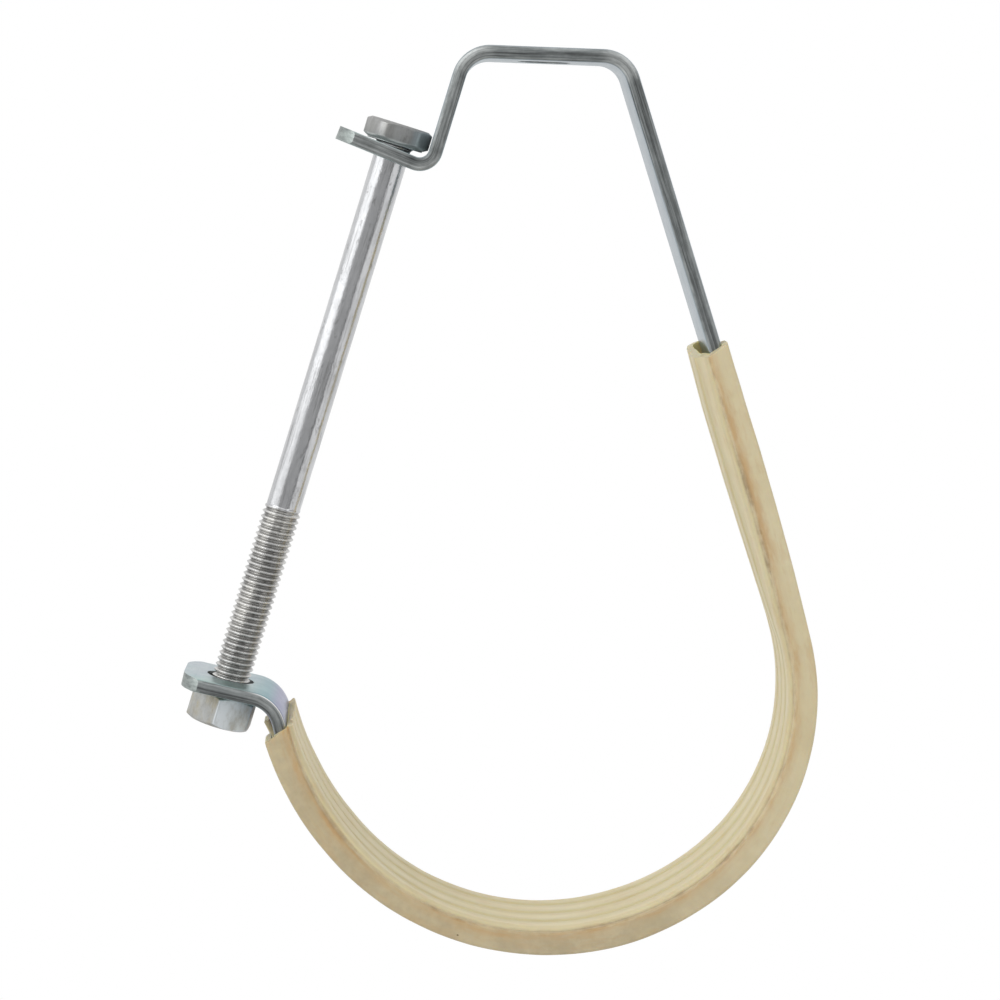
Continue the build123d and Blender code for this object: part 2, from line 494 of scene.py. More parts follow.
@dataclass(frozen=True)
class StripSizes:
    """Sizes of the strap, in millimetres and degrees, as the source has them."""

    width: float = 25.0
    thick: float = 2.8
    edge_round: float = 0.8
    rod_hole: float = 11.0
    bolt_hole: float = 10.0
    bar_length: float = 32.5
    bar_bend: float = 6.5
    long_lean: float = 19.35
    long_straight: float = 77.8
    bow_length: float = 42.6
    bow_radius: float = 700.0
    side_radius: float = 49.9
    side_turn: float = 67.3
    seat_radius: float = 56.1
    seat_turn: float = 113.2
    end_straight: float = 2.6
    low_bend: float = 7.2
    low_slope: float = 11.5
    low_hole: float = 5.7
    low_tip: float = 9.6
    short_lean: float = 15.1
    short_straight: float = 16.5
    up_bend: float = 3.4
    up_slope: float = 20.0
    up_hole: float = 4.9
    up_tip: float = 11.85
    tip_arc: float = 9.0
    tip_setback: float = 3.6

    def long_side(self) -> BentLine:
        """Bar centre, long leg, jaw and lower tab."""
        turn = 90 - self.long_lean
        tangent = self.bar_bend * math.tan(math.radians(turn) / 2)
        line = BentLine(0.0, [(0.0, -self.thick / 2)])
        line.straight(self.bar_length / 2 - tangent).bend(self.bar_bend, -turn)
        line.straight(self.long_straight)
        line.bend(self.bow_radius, -math.degrees(self.bow_length / self.bow_radius))
        line.bend(self.side_radius, -self.side_turn).bend(self.seat_radius, -self.seat_turn)
        line.straight(self.end_straight)
        line.bend(self.low_bend, -180 - self.low_slope - line.heading)
        return line.straight(self.low_hole + self.low_tip)

    def short_side(self) -> BentLine:
        """Bar centre, short leg and upper tab."""
        turn = 90 - self.short_lean
        tangent = self.bar_bend * math.tan(math.radians(turn) / 2)
        line = BentLine(180.0, [(0.0, -self.thick / 2)])
        line.straight(self.bar_length / 2 - tangent).bend(self.bar_bend, turn)
        line.straight(self.short_straight)
        line.bend(self.up_bend, 180 - self.up_slope - line.heading)
        return line.straight(self.up_hole + self.up_tip)


def path_curve(name: str, points: Sequence[Point2]) -> bpy.types.Object:
    """Makes a line of points in the XZ plane a curve object.

    Args:
        name: Name of the curve.
        points: The points in millimetres.

    Returns:
        The curve, with one open spline of straight runs.
    """
    data = bpy.data.curves.new(name, "CURVE")
    data.dimensions = "3D"
    spline = data.splines.new("POLY")
    spline.points.add(len(points) - 1)
    for point, (x, z) in zip(spline.points, points):
        point.co = (x * MM, 0.0, z * MM, 1.0)
    obj = bpy.data.objects.new(name, data)
    bpy.context.scene.collection.objects.link(obj)
    return obj


def bending_tree() -> bpy.types.NodeTree:
    """Builds the tree that bends a straight blank round a path.

    The blank stands along Z. Its Z becomes the run along the path, its X the way to the front
    and its Y the way to the inside of the bend. Named inputs arch its inside face where a soft
    lining springs open, and make it gently uneven.

    Returns:
        The tree.
    """
    takes = {
        "Geometry": GEOMETRY, "Path": OBJECT, "Arch height": FLOAT, "Arch reach": FLOAT,
        "Arch half width": FLOAT, "Unevenness": FLOAT, "Uneven scale": FLOAT, "Material": MATERIAL,
    }
    graph, start, end = new_group("bend round path", "GeometryNodeTree", takes, {"Geometry": GEOMETRY})
    given = start.outputs
    position = graph.put("GeometryNodeInputPosition").outputs[0]
    kept = graph.put("GeometryNodeStoreNamedAttribute",
                     {"Geometry": given["Geometry"], "Name": "straight", "Value": position},
                     data_type="FLOAT_VECTOR", domain="POINT").outputs[0]
    facing = graph.math("ABSOLUTE", graph.split(graph.put("GeometryNodeInputNormal").outputs[0])[1])
    kept = graph.put("GeometryNodeStoreNamedAttribute",
                     {"Geometry": kept, "Name": "rim", "Value": graph.math("SUBTRACT", 1.0, facing)},
                     data_type="FLOAT", domain="FACE").outputs[0]
    x, y, z = graph.split(position)
    along = graph.math("DIVIDE", z, graph.math("MAXIMUM", given["Arch reach"], 1e-6))
    fall = graph.math("SUBTRACT", 1.0, graph.math("POWER", graph.math("MINIMUM", graph.math("MAXIMUM", along, 0.0), 1.0), 3.0))
    side = graph.math("DIVIDE", x, graph.math("MAXIMUM", given["Arch half width"], 1e-6))
    crown = graph.math("SUBTRACT", 1.0, graph.math("POWER", graph.math("ABSOLUTE", side), 3.5))
    crown = graph.math("MAXIMUM", crown, 0.0)
    inside = graph.math("GREATER_THAN", y, 0.0)
    lift = graph.math("MULTIPLY", graph.math("MULTIPLY", fall, crown), inside)
    lifted = graph.math("ADD", y, graph.math("MULTIPLY", lift, given["Arch height"]))
    info = graph.put("GeometryNodeObjectInfo", {"Object": given["Path"]})
    sample = graph.put("GeometryNodeSampleCurve", {"Curves": info.outputs["Geometry"], "Length": z},
                       mode="LENGTH")
    right = graph.vector("CROSS_PRODUCT", sample.outputs["Tangent"], (0.0, -1.0, 0.0))
    place = graph.vector("ADD", sample.outputs["Position"], graph.scaled((0.0, -1.0, 0.0), x))
    place = graph.vector("ADD", place, graph.scaled(right, lifted))
    moved = graph.put("GeometryNodeSetPosition", {"Geometry": kept, "Position": place}).outputs[0]
    here = graph.put("GeometryNodeInputPosition").outputs[0]
    texture = graph.put("ShaderNodeTexNoise", {"Vector": here, "Scale": given["Uneven scale"], "Detail": 2.0})
    swing = graph.vector("SUBTRACT", texture.outputs["Color"], (0.5, 0.5, 0.5))
    swing = graph.scaled(swing, given["Unevenness"])
    uneven = graph.put("GeometryNodeSetPosition", {"Geometry": moved, "Offset": swing}).outputs[0]
    real = graph.put("GeometryNodeRealizeInstances", {"Geometry": uneven}).outputs[0]
    done = graph.put("GeometryNodeSetMaterial", {"Geometry": real, "Material": given["Material"]}).outputs[0]
    graph.tree.links.new(done, end.inputs[0])
    return graph.tree


def thread_tree() -> bpy.types.NodeTree:
    """Builds the tree that rolls a screw thread along Z, upwards from the point at the origin.

    Returns:
        The tree.
    """
    takes = {
        "Geometry": GEOMETRY, "Length": FLOAT, "Pitch": FLOAT, "Crest radius": FLOAT, "Root radius": FLOAT,
        "Point radius": FLOAT, "Run-out": FLOAT, "Sides": INTEGER, "Rows": INTEGER, "Material": MATERIAL,
    }
    graph, start, end = new_group("rolled thread", "GeometryNodeTree", takes, {"Geometry": GEOMETRY})
    given = start.outputs
    tube = graph.put("GeometryNodeMeshCylinder",
                     {"Vertices": given["Sides"], "Side Segments": given["Rows"], "Radius": 1.0,
                      "Depth": given["Length"]}, fill_type="NGON")
    position = graph.put("GeometryNodeInputPosition").outputs[0]
    x, y, z = graph.split(position)
    height = graph.math("ADD", z, graph.math("MULTIPLY", given["Length"], 0.5))
    turn = graph.math("DIVIDE", graph.math("ARCTAN2", y, x), TAU)
    phase = graph.math("FRACT", graph.math("SUBTRACT", graph.math("DIVIDE", height, given["Pitch"]), turn))
    ridge = graph.math("ABSOLUTE", graph.math("SUBTRACT", graph.math("MULTIPLY", phase, 2.0), 1.0))
    ridge = graph.remap(ridge, 0.14, 0.88)
    left = graph.math("SUBTRACT", given["Length"], height)
    fade = graph.math("MINIMUM", graph.math("DIVIDE", left, given["Run-out"]), 1.0)
    deep = graph.math("SUBTRACT", given["Crest radius"], given["Root radius"])
    radius = graph.math("ADD", given["Root radius"], graph.math("MULTIPLY", deep, ridge))
    level = graph.math("ADD", given["Root radius"], graph.math("MULTIPLY", deep, 0.35))
    eased = graph.math("ADD", graph.math("MULTIPLY", radius, fade),
                       graph.math("MULTIPLY", level, graph.math("SUBTRACT", 1.0, fade)))
    point = graph.math("ADD", given["Point radius"], height)
    eased = graph.math("MINIMUM", eased, point)
    place = graph.join(graph.math("MULTIPLY", x, eased), graph.math("MULTIPLY", y, eased), height)
    moved = graph.put("GeometryNodeSetPosition", {"Geometry": tube.outputs["Mesh"], "Position": place}).outputs[0]
    real = graph.put("GeometryNodeRealizeInstances", {"Geometry": moved}).outputs[0]
    done = graph.put("GeometryNodeSetMaterial", {"Geometry": real, "Material": given["Material"]}).outputs[0]
    graph.tree.links.new(done, end.inputs[0])
    return graph.tree


# ---------------------------------------------------------------- shared effects of the finishes


@dataclass
class Effects:
    """Shader groups that more than one finish uses."""

    mottle: bpy.types.NodeTree
    scratches: bpy.types.NodeTree
    specks: bpy.types.NodeTree

    @classmethod
    def build(cls) -> "Effects":
        """Builds all the groups."""
        return cls(cls.make_mottle(), cls.make_scratches(), cls.make_specks())

    @staticmethod
    def make_mottle() -> bpy.types.NodeTree:
        """Soft patches of two sizes, from 0 to 1."""
        graph, start, end = new_group("soft mottle", "ShaderNodeTree",
                                      {"Vector": VECTOR, "Scale": FLOAT, "Contrast": FLOAT}, {"Mask": FLOAT})
        given = start.outputs
        vector = graph.scaled(given["Vector"], given["Scale"])
        large = graph.noise(vector, 1.0, 3.0, 0.55)
        small = graph.noise(vector, 5.3, 4.0, 0.6)
        both = graph.math("ADD", graph.math("MULTIPLY", large, 0.65), graph.math("MULTIPLY", small, 0.35))
        swing = graph.math("MULTIPLY", graph.math("SUBTRACT", both, 0.5), given["Contrast"])
        mask = graph.put("ShaderNodeClamp", {0: graph.math("ADD", swing, 0.5)}).outputs[0]
        graph.tree.links.new(mask, end.inputs[0])
        return graph.tree

    @staticmethod
    def make_scratches() -> bpy.types.NodeTree:
        """Fine hair lines drawn out along one direction, from 0 to 1."""
        graph, start, end = new_group("hair scratches", "ShaderNodeTree",
                                      {"Vector": VECTOR, "Stretch": VECTOR, "Cut": FLOAT}, {"Mask": FLOAT})
        given = start.outputs
        vector = graph.vector("MULTIPLY", given["Vector"], given["Stretch"])
        lines = graph.noise(vector, 1.0, 5.0, 0.7)
        past = graph.math("SUBTRACT", lines, given["Cut"])
        mask = graph.put("ShaderNodeClamp", {0: graph.math("MULTIPLY", past, 6.0)}).outputs[0]
        graph.tree.links.new(mask, end.inputs[0])
        return graph.tree

    @staticmethod
    def make_specks() -> bpy.types.NodeTree:
        """Small scattered dots, from 0 to 1."""
        graph, start, end = new_group("specks", "ShaderNodeTree",
                                      {"Vector": VECTOR, "Scale": FLOAT, "Size": FLOAT, "Share": FLOAT},
                                      {"Mask": FLOAT})
        given = start.outputs
        wobble = graph.scaled(graph.put("ShaderNodeTexNoise", {"Vector": given["Vector"], "Scale": 900.0})
                              .outputs["Color"], 0.0004)
        vector = graph.vector("ADD", given["Vector"], wobble)
        cells = graph.put("ShaderNodeTexVoronoi", {"Vector": vector, "Scale": given["Scale"]})
        near = graph.math("LESS_THAN", cells.outputs["Distance"], given["Size"])
        pick = graph.math("LESS_THAN", graph.split(cells.outputs["Color"])[0], given["Share"])
        graph.tree.links.new(graph.math("MULTIPLY", near, pick), end.inputs[0])
        return graph.tree


def new_finish(name: str) -> tuple[bpy.types.Material, Graph, bpy.types.Node]:
    """Starts a material and returns it with its graph and its Principled shader."""
    finish = bpy.data.materials.new(name)
    finish.use_nodes = True
    graph = Graph(finish.node_tree)
    shader = next(n for n in finish.node_tree.nodes if n.type == "BSDF_PRINCIPLED")
    return finish, graph, shader


@dataclass(frozen=True)
class ZincStrip:
    """Zinc on the strap: a faint rainbow on its faces, duller legs, streaky rolled and cut edges.

    It also has painted shade round the head's seat and on the edges inside the tab's bend under the head,
    painted highlights on the edges where the strip bends, and a painted glint along the lower bend's rim.
    """

    teal: tuple = (162, 192, 187)
    violet: tuple = (162, 166, 188)
    pale: tuple = (188, 200, 194)
    bend_teal: tuple = (106, 152, 162)
    bend_violet: tuple = (126, 126, 164)
    dull: tuple = (141, 152, 161)
    edge: tuple = (173, 178, 178)
    bend_edge_highlight: tuple = (215, 219, 218)
    shaded: tuple = (142, 153, 153)
    tip: tuple = (166, 174, 171)
    stain_and_shade_brown: tuple = (98, 103, 104)
    soot: tuple = (52, 54, 54)
    glint: tuple = (244, 244, 244)
    rough: float = 0.27

    def build(self, effects: Effects, shape: "Strap") -> bpy.types.Material:
        """Builds the material.

        Args:
            effects: The shared shader groups.
            shape: The strap that wears it, for the places of its legs, bends and tips.

        Returns:
            The material.
        """
        finish, graph, shader = new_finish("zinc strip")
        place = graph.put("ShaderNodeAttribute", attribute_name="straight").outputs["Vector"]
        rim = graph.put("ShaderNodeAttribute", attribute_name="rim").outputs["Fac"]
        across, through, run = graph.split(place)
        legs_from, legs_to, tab_from, total = shape.marks()
        seat = shape.sizes.up_tip
        patches = graph.group(effects.mottle, {"Vector": place, "Scale": 90.0, "Contrast": 3.0}).outputs[0]
        drift = graph.group(effects.mottle, {"Vector": place, "Scale": 34.0, "Contrast": 3.6}).outputs[0]
        fine = graph.group(effects.mottle, {"Vector": place, "Scale": 420.0, "Contrast": 3.0}).outputs[0]
        lines = graph.group(effects.scratches,
                            {"Vector": place, "Stretch": (2200.0, 2200.0, 45.0), "Cut": 0.5}).outputs[0]
        streaks = graph.group(effects.scratches,
                              {"Vector": place, "Stretch": (700.0, 1500.0, 22.0), "Cut": 0.44}).outputs[0]
        stains = graph.group(effects.scratches,
                             {"Vector": place, "Stretch": (500.0, 900.0, 60.0), "Cut": 0.47}).outputs[0]
        band = graph.remap(rim, 0.08, 0.32, smooth=True)
        worn = graph.window(run, legs_from * MM, legs_to * MM, 4 * MM)
        bent = graph.window(run, legs_to * MM, tab_from * MM, 3 * MM)
        curved = graph.math("MULTIPLY", bent, 0.45)
        for start, end, share in shape.bends():
            part = graph.math("MULTIPLY", graph.window(run, start * MM, end * MM, 1.5 * MM), share)
            curved = graph.math("MAXIMUM", curved, part)
        along = graph.vector("MULTIPLY", place, (0.0, 2.2, 1.0))
        blots = graph.group(effects.mottle, {"Vector": along, "Scale": 150.0, "Contrast": 5.0}).outputs[0]
        colour = graph.blend(drift, linear(*self.teal), linear(*self.violet))
        colour = graph.blend(graph.math("MULTIPLY", patches, 0.7), colour, linear(*self.pale))
        colour = graph.blend(graph.math("MULTIPLY", worn, 0.8), colour, linear(*self.dull))
        turned_to = graph.blend(graph.remap(run, (tab_from - 2) * MM, (legs_to + 3) * MM, smooth=True),
                                linear(*self.bend_teal), linear(*self.bend_violet))
        colour = graph.blend(graph.math("MULTIPLY", bent, 0.85), colour, turned_to)
        # Painted shade on the faces of the upper tab round the head's seat, fading out past the seat.
        off = graph.math("SUBTRACT", run, seat * MM)
        about = graph.math("SQRT", graph.math("ADD", graph.math("MULTIPLY", off, off),
                                              graph.math("MULTIPLY", across, across)))
        head_seat_shade = graph.math("MULTIPLY", graph.remap(about, 8.0 * MM, 12.5 * MM, 1.0, 0.35, smooth=True),
                            graph.remap(run, (seat + 6) * MM, (seat + 10) * MM, 1.0, 0.0))
        colour = graph.blend(graph.math("MULTIPLY", head_seat_shade, 0.85), colour, linear(*self.shaded))

        flat = graph.remap(graph.math("ABSOLUTE", across), 12.4 * MM, 12.49 * MM)
        cut = graph.math("ADD", graph.remap(run, 4.2 * MM, 4.4 * MM, 1.0, 0.0),
                         graph.remap(run, (total - 4.4) * MM, (total - 4.2) * MM))
        cut = graph.math("MULTIPLY", cut, graph.math("SUBTRACT", 1.0, flat))
        # Painted highlight: the rolled edges are lighter where the strip bends.
        side = graph.blend(curved, linear(*self.edge), linear(*self.bend_edge_highlight))
        side = graph.blend(cut, side, linear(*self.tip))
        side = graph.blend(graph.math("MULTIPLY", stains, 0.45), side, linear(*self.stain_and_shade_brown))
        side = graph.blend(graph.math("MULTIPLY", blots, 0.46), side, linear(*self.stain_and_shade_brown))
        # Painted shade on the edges inside the upper tab's bend, under the head; the same brown also paints real
        # stains.
        bend_from, bend_to = shape.bends()[1][:2]
        under_head = graph.math("MULTIPLY", graph.window(run, (bend_from - 1.5) * MM, bend_to * MM, 1.5 * MM),
                                graph.remap(through, -0.9 * MM, 0.2 * MM, 1.0, 0.0, smooth=True))
        side = graph.blend(graph.math("MULTIPLY", under_head, 0.75), side, linear(*self.stain_and_shade_brown))
        colour = graph.blend(band, colour, side)
        dark = graph.math("MULTIPLY", lines, graph.remap(band, 0.0, 1.0, 0.14, 0.45))
        streaky = graph.math("MULTIPLY", streaks, graph.remap(band, 0.0, 1.0, 0.06, 0.7))
        dark = graph.math("ADD", dark, streaky)
        dark = graph.math("MULTIPLY", dark, graph.remap(curved, 0.0, 1.0, 1.0, 0.6))
        dark = graph.math("MULTIPLY", dark, graph.math("SUBTRACT", 1.0, graph.math("MULTIPLY", cut, 0.7)))
        colour = graph.blend(dark, colour, linear(*self.soot))
        ridge = graph.math("MULTIPLY", graph.remap(rim, 0.2, 0.28), graph.remap(rim, 0.36, 0.44, 1.0, 0.0))
        ridge = graph.math("MULTIPLY", ridge, graph.remap(through, 0.0, 0.5 * MM))
        ridge = graph.math("MULTIPLY", ridge, bent)
        colour = graph.blend(ridge, colour, linear(*self.glint))

        rough = graph.math("ADD", graph.math("MULTIPLY", fine, 0.1), self.rough)
        rough = graph.math("ADD", rough, graph.math("MULTIPLY", band, 0.1))
        height = graph.math("ADD", graph.math("MULTIPLY", lines, -0.5), graph.math("MULTIPLY", fine, 0.8))
        height = graph.math("ADD", height, graph.math("MULTIPLY", streaks, -0.5))
        bump = graph.put("ShaderNodeBump", {"Height": height, "Strength": 0.35, "Distance": 0.05 * MM})
        links = graph.tree.links
        links.new(colour, shader.inputs["Base Color"])
        links.new(rough, shader.inputs["Roughness"])
        links.new(bump.outputs[0], shader.inputs["Normal"])
        shader.inputs["Metallic"].default_value = 0.86
        return finish


@dataclass(frozen=True)
class ZincFastener:
    """Zinc on the bolt and the nut: bright, finely pitted, with darker or yellowish patches.

    The forged head of a bolt, above the level 0, is rougher and greyer than its shank. Below the level
    called hollow its thread has painted shade in its valleys. The flat that faces a direction given in
    degrees about the axis gets a painted highlight, and the lowest part of a head's sides, just above its
    washer face, is painted lighter and less metallic as a painted reflection.
    """

    name: str
    bright: tuple
    threaded: tuple
    patch: tuple
    dark: tuple
    patch_share: float
    rough: float
    forged: tuple
    forged_rough: float
    forged_shine: float
    patch_scale: float
    hollow: float
    highlight_facet: float
    highlight_colour: tuple
    highlight_share: float
    under_light_share: float

    def build(self, effects: Effects) -> bpy.types.Material:
        """Builds the material.

        Args:
            effects: The shared shader groups.

        Returns:
            The material.
        """
        finish, graph, shader = new_finish(self.name)
        place = graph.put("ShaderNodeAttribute", attribute_name="straight").outputs["Vector"]
        x, y, level = graph.split(place)
        drawn = graph.vector("MULTIPLY", place, (1.0, 1.0, 0.45))
        patches = graph.group(effects.mottle, {"Vector": drawn, "Scale": self.patch_scale, "Contrast": 4.2}).outputs[0]
        pits = graph.group(effects.mottle, {"Vector": drawn, "Scale": 900.0, "Contrast": 3.2}).outputs[0]
        lines = graph.group(effects.scratches,
                            {"Vector": place, "Stretch": (1700.0, 1700.0, 70.0), "Cut": 0.54}).outputs[0]
        on_thread = graph.remap(level, self.hollow * MM, (self.hollow + 0.5) * MM, 1.0, 0.0)
        colour = graph.blend(on_thread, linear(*self.bright), linear(*self.threaded))
        colour = graph.blend(graph.math("MULTIPLY", patches, self.patch_share), colour, linear(*self.patch))
        hollow = graph.remap(pits, 0.7, 1.0, smooth=True)
        dark = graph.math("MAXIMUM", graph.math("MULTIPLY", hollow, 0.35), graph.math("MULTIPLY", lines, 0.45))
        colour = graph.blend(dark, colour, linear(*self.dark))
        radius = graph.math("SQRT", graph.math("ADD", graph.math("MULTIPLY", x, x), graph.math("MULTIPLY", y, y)))
        # Painted shade in the thread's valleys, patchy.
        valley_shade = graph.math("MULTIPLY", graph.remap(radius, 3.42 * MM, 3.85 * MM, 1.0, 0.0), on_thread)
        colour = graph.blend(graph.math("MULTIPLY", valley_shade, graph.remap(patches, 0.0, 1.0, 0.35, 0.75)), colour,
                             linear(*self.dark))
        head = graph.remap(level, 0.1 * MM, 0.25 * MM)
        worn = graph.blend(graph.math("MULTIPLY", pits, 0.5), linear(*self.forged), linear(*self.dark))
        colour = graph.blend(graph.math("MULTIPLY", head, graph.remap(patches, 0.0, 1.0, 0.9, 0.5)), colour, worn)
        # Painted highlight on the flat that faces the given direction, patchy.
        turn = math.radians(self.highlight_facet)
        facing = graph.math("ADD", graph.math("MULTIPLY", x, math.cos(turn)), graph.math("MULTIPLY", y, math.sin(turn)))
        highlight_facet = graph.math("MULTIPLY", graph.remap(facing, 6.1 * MM, 6.42 * MM, smooth=True), self.highlight_share)
        highlight_facet = graph.math("MULTIPLY", highlight_facet, graph.remap(patches, 0.2, 1.0, 1.0, 0.45))
        # Painted reflection: the head's lower edge just above the washer face is painted lighter.
        under = graph.math("MULTIPLY", graph.remap(level, 0.6 * MM, 1.1 * MM, 1.0, 0.0), head)
        highlight_facet = graph.math("MAXIMUM", highlight_facet, graph.math("MULTIPLY", under, self.under_light_share))
        colour = graph.blend(highlight_facet, colour, linear(*self.highlight_colour))
        rough = graph.math("ADD", graph.math("MULTIPLY", patches, 0.1), self.rough)
        rough = graph.math("ADD", rough, graph.math("MULTIPLY", head, self.forged_rough - self.rough))
        rough = graph.math("ADD", rough, graph.math("MULTIPLY", on_thread, 0.09))
        height = graph.math("ADD", pits, graph.math("MULTIPLY", patches, 1.6))
        bump = graph.put("ShaderNodeBump", {"Height": height, "Strength": 0.22, "Distance": 0.06 * MM})
        links = graph.tree.links
        links.new(colour, shader.inputs["Base Color"])
        links.new(rough, shader.inputs["Roughness"])
        links.new(bump.outputs[0], shader.inputs["Normal"])
        shine = graph.remap(head, 0.0, 1.0, 0.88, self.forged_shine)
        # Less metallic on that lower edge, part of the same painted reflection.
        shine = graph.math("MULTIPLY", shine, graph.remap(under, 0.0, 1.0, 1.0, 1 - self.under_light_share))
        links.new(shine, shader.inputs["Metallic"])
        return finish


@dataclass(frozen=True)
class SoftLining:
    """Cream soft plastic: tan dirt beside its creases, a brown line in them that is dirt and painted shade,
    broad soft stripes of painted shade along the pad's grooves, a wall painted greyer towards its lower end
    as painted shade, painted olive shade and a painted glow inside the channel, blotches and specks.
    """

    cream: tuple = (225, 210, 170)
    pale: tuple = (236, 225, 190)
    pad_shade: tuple = (206, 195, 150)
    tan: tuple = (206, 170, 120)
    stain_and_shade_brown: tuple = (120, 82, 42)
    wall_shade_grey: tuple = (174, 157, 126)
    inside_shade_olive: tuple = (216, 206, 122)
    inside_glow: tuple = (82, 78, 54)
    speck: tuple = (84, 66, 36)

    def build(self, effects: Effects, shape: "Lining") -> bpy.types.Material:
        """Builds the material.

        Args:
            effects: The shared shader groups.
            shape: The lining that wears it, for the places of its crease, grooves and ends.

        Returns:
            The material.
        """
        finish, graph, shader = new_finish("cream lining")
        place = graph.put("ShaderNodeAttribute", attribute_name="straight").outputs["Vector"]
        across, through, run = graph.split(place)
        wide = graph.math("ABSOLUTE", across)
        crease_x, crease_y = shape.crease()
        face = shape.pad_face()
        drift = graph.group(effects.mottle, {"Vector": place, "Scale": 55.0, "Contrast": 2.6}).outputs[0]
        blotch = graph.group(effects.mottle, {"Vector": place, "Scale": 120.0, "Contrast": 2.6}).outputs[0]
        long_way = graph.vector("MULTIPLY", place, (1.0, 1.0, 0.25))
        patchy = graph.group(effects.mottle, {"Vector": long_way, "Scale": 330.0, "Contrast": 4.2}).outputs[0]
        only_run = graph.vector("MULTIPLY", place, (0.0, 0.0, 1.0))
        lumps = graph.group(effects.mottle, {"Vector": only_run, "Scale": 75.0, "Contrast": 4.5}).outputs[0]
        marks = graph.group(effects.scratches,
                            {"Vector": place, "Stretch": (900.0, 900.0, 42.0), "Cut": 0.52}).outputs[0]
        dots = graph.group(effects.specks, {"Vector": place, "Scale": 210.0, "Size": 0.055, "Share": 0.12}).outputs[0]

        colour = graph.blend(drift, linear(*self.cream), linear(*self.pale))
        on_wall = graph.math("MULTIPLY", graph.remap(wide, (crease_x - 0.8) * MM, (crease_x - 0.1) * MM, smooth=True),
                             graph.remap(through, (crease_y - 0.3) * MM, (crease_y + 0.6) * MM, 1.0, 0.0))
        on_pad = graph.math("MULTIPLY", graph.remap(through, (face - 0.6) * MM, (face - 0.4) * MM),
                            graph.remap(wide, 11.6 * MM, 12.4 * MM, 1.0, 0.0))
        # Painted shade: the wall goes greyer in soft blotches, much more so towards its lower end.
        low = graph.remap(run, 95 * MM, 150 * MM, smooth=True)
        wall_shade = graph.math("MULTIPLY", on_wall, graph.remap(blotch, 0.05, 0.95, 0.38, 0.7, smooth=True))
        wall_shade = graph.math("MULTIPLY", wall_shade, graph.math("ADD", graph.math("MULTIPLY", low, 0.78), 0.22))
        colour = graph.blend(wall_shade, colour, linear(*self.wall_shade_grey))
        tanned = graph.math("MULTIPLY", graph.remap(patchy, 0.55, 1.0, smooth=True), 0.22)
        colour = graph.blend(tanned, colour, linear(*self.tan))

        below = graph.math("SUBTRACT", crease_y * MM, through)
        halo = graph.math("MULTIPLY", graph.remap(below, -0.1 * MM, 0.45 * MM, smooth=True),
                          graph.remap(below, 0.5 * MM, 2.7 * MM, 1.0, 0.0, smooth=True))
        halo = graph.math("MULTIPLY", halo, graph.remap(patchy, 0.05, 0.95, 0.2, 0.78))
        halo = graph.math("MULTIPLY", halo, graph.remap(run, 200 * MM, 222 * MM, 1.0, 1.25))
        colour = graph.blend(graph.math("MULTIPLY", halo, on_wall), colour, linear(*self.tan))
        # The pad's rounded border beside the crease takes a little of the painted pad shade.
        bead = graph.math("MULTIPLY", graph.remap(wide, 12.2 * MM, 13.0 * MM, smooth=True),
                          graph.remap(through, (crease_y + 0.1) * MM, (crease_y + 0.4) * MM))
        colour = graph.blend(graph.math("MULTIPLY", bead, 0.3), colour, linear(*self.pad_shade))

        # A brown line in the crease, lumpy and strongest along the leg: dirt, and painted shade in the crease.
        side = graph.math("SUBTRACT", wide, crease_x * MM)
        away = graph.math("ADD", below, -0.05 * MM)
        reach = graph.math("SQRT", graph.math("ADD", graph.math("MULTIPLY", side, side),
                                              graph.math("MULTIPLY", away, away)))
        line = graph.remap(reach, 0.2 * MM, 0.95 * MM, 1.0, 0.0, smooth=True)
        zone = graph.window(run, 24 * MM, 50 * MM, 5 * MM)
        strength = graph.math("MULTIPLY", graph.math("ADD", graph.math("MULTIPLY", zone, 0.35), 0.46), lumps)
        strength = graph.math("MULTIPLY", strength, graph.remap(patchy, 0.15, 0.85, 0.1, 1.0))
        colour = graph.blend(graph.math("MULTIPLY", line, strength), colour, linear(*self.stain_and_shade_brown))

        # Painted shade in soft stripes along the pad's grooves, fading out towards the lower end.
        wave = graph.math("COSINE", graph.math("MULTIPLY", across, TAU / (shape.groove_pitch * MM)))
        groove_shade = graph.math("ADD", graph.math("MULTIPLY", wave, 0.5), 0.5)
        groove_shade = graph.math("MULTIPLY", graph.math("MULTIPLY", groove_shade, on_pad), graph.remap(drift, 0, 1, 0.45, 0.8))
        groove_shade = graph.math("MULTIPLY", groove_shade, graph.remap(run, 188 * MM, 218 * MM, 1.0, 0.25))
        colour = graph.blend(groove_shade, colour, linear(*self.pad_shade))
        colour = graph.blend(graph.math("MULTIPLY", marks, 0.12), colour, linear(*self.tan))

        # Painted olive shade on the faces inside the channel, and a painted glow there through the emission.
        inner = graph.math("MULTIPLY", graph.remap(through, 1.5 * MM, 1.7 * MM, 1.0, 0.0),
                           graph.remap(wide, 12.6 * MM, 12.7 * MM, 1.0, 0.0))
        inner = graph.math("MULTIPLY", inner, graph.remap(through, -1.65 * MM, -1.5 * MM))
        colour = graph.blend(graph.math("MULTIPLY", inner, 0.6), colour, linear(*self.inside_shade_olive))
        painted_inside_glow = graph.blend(inner, (0.0, 0.0, 0.0, 1.0), linear(*self.inside_glow))
        colour = graph.blend(graph.math("MULTIPLY", dots, 0.75), colour, linear(*self.speck))

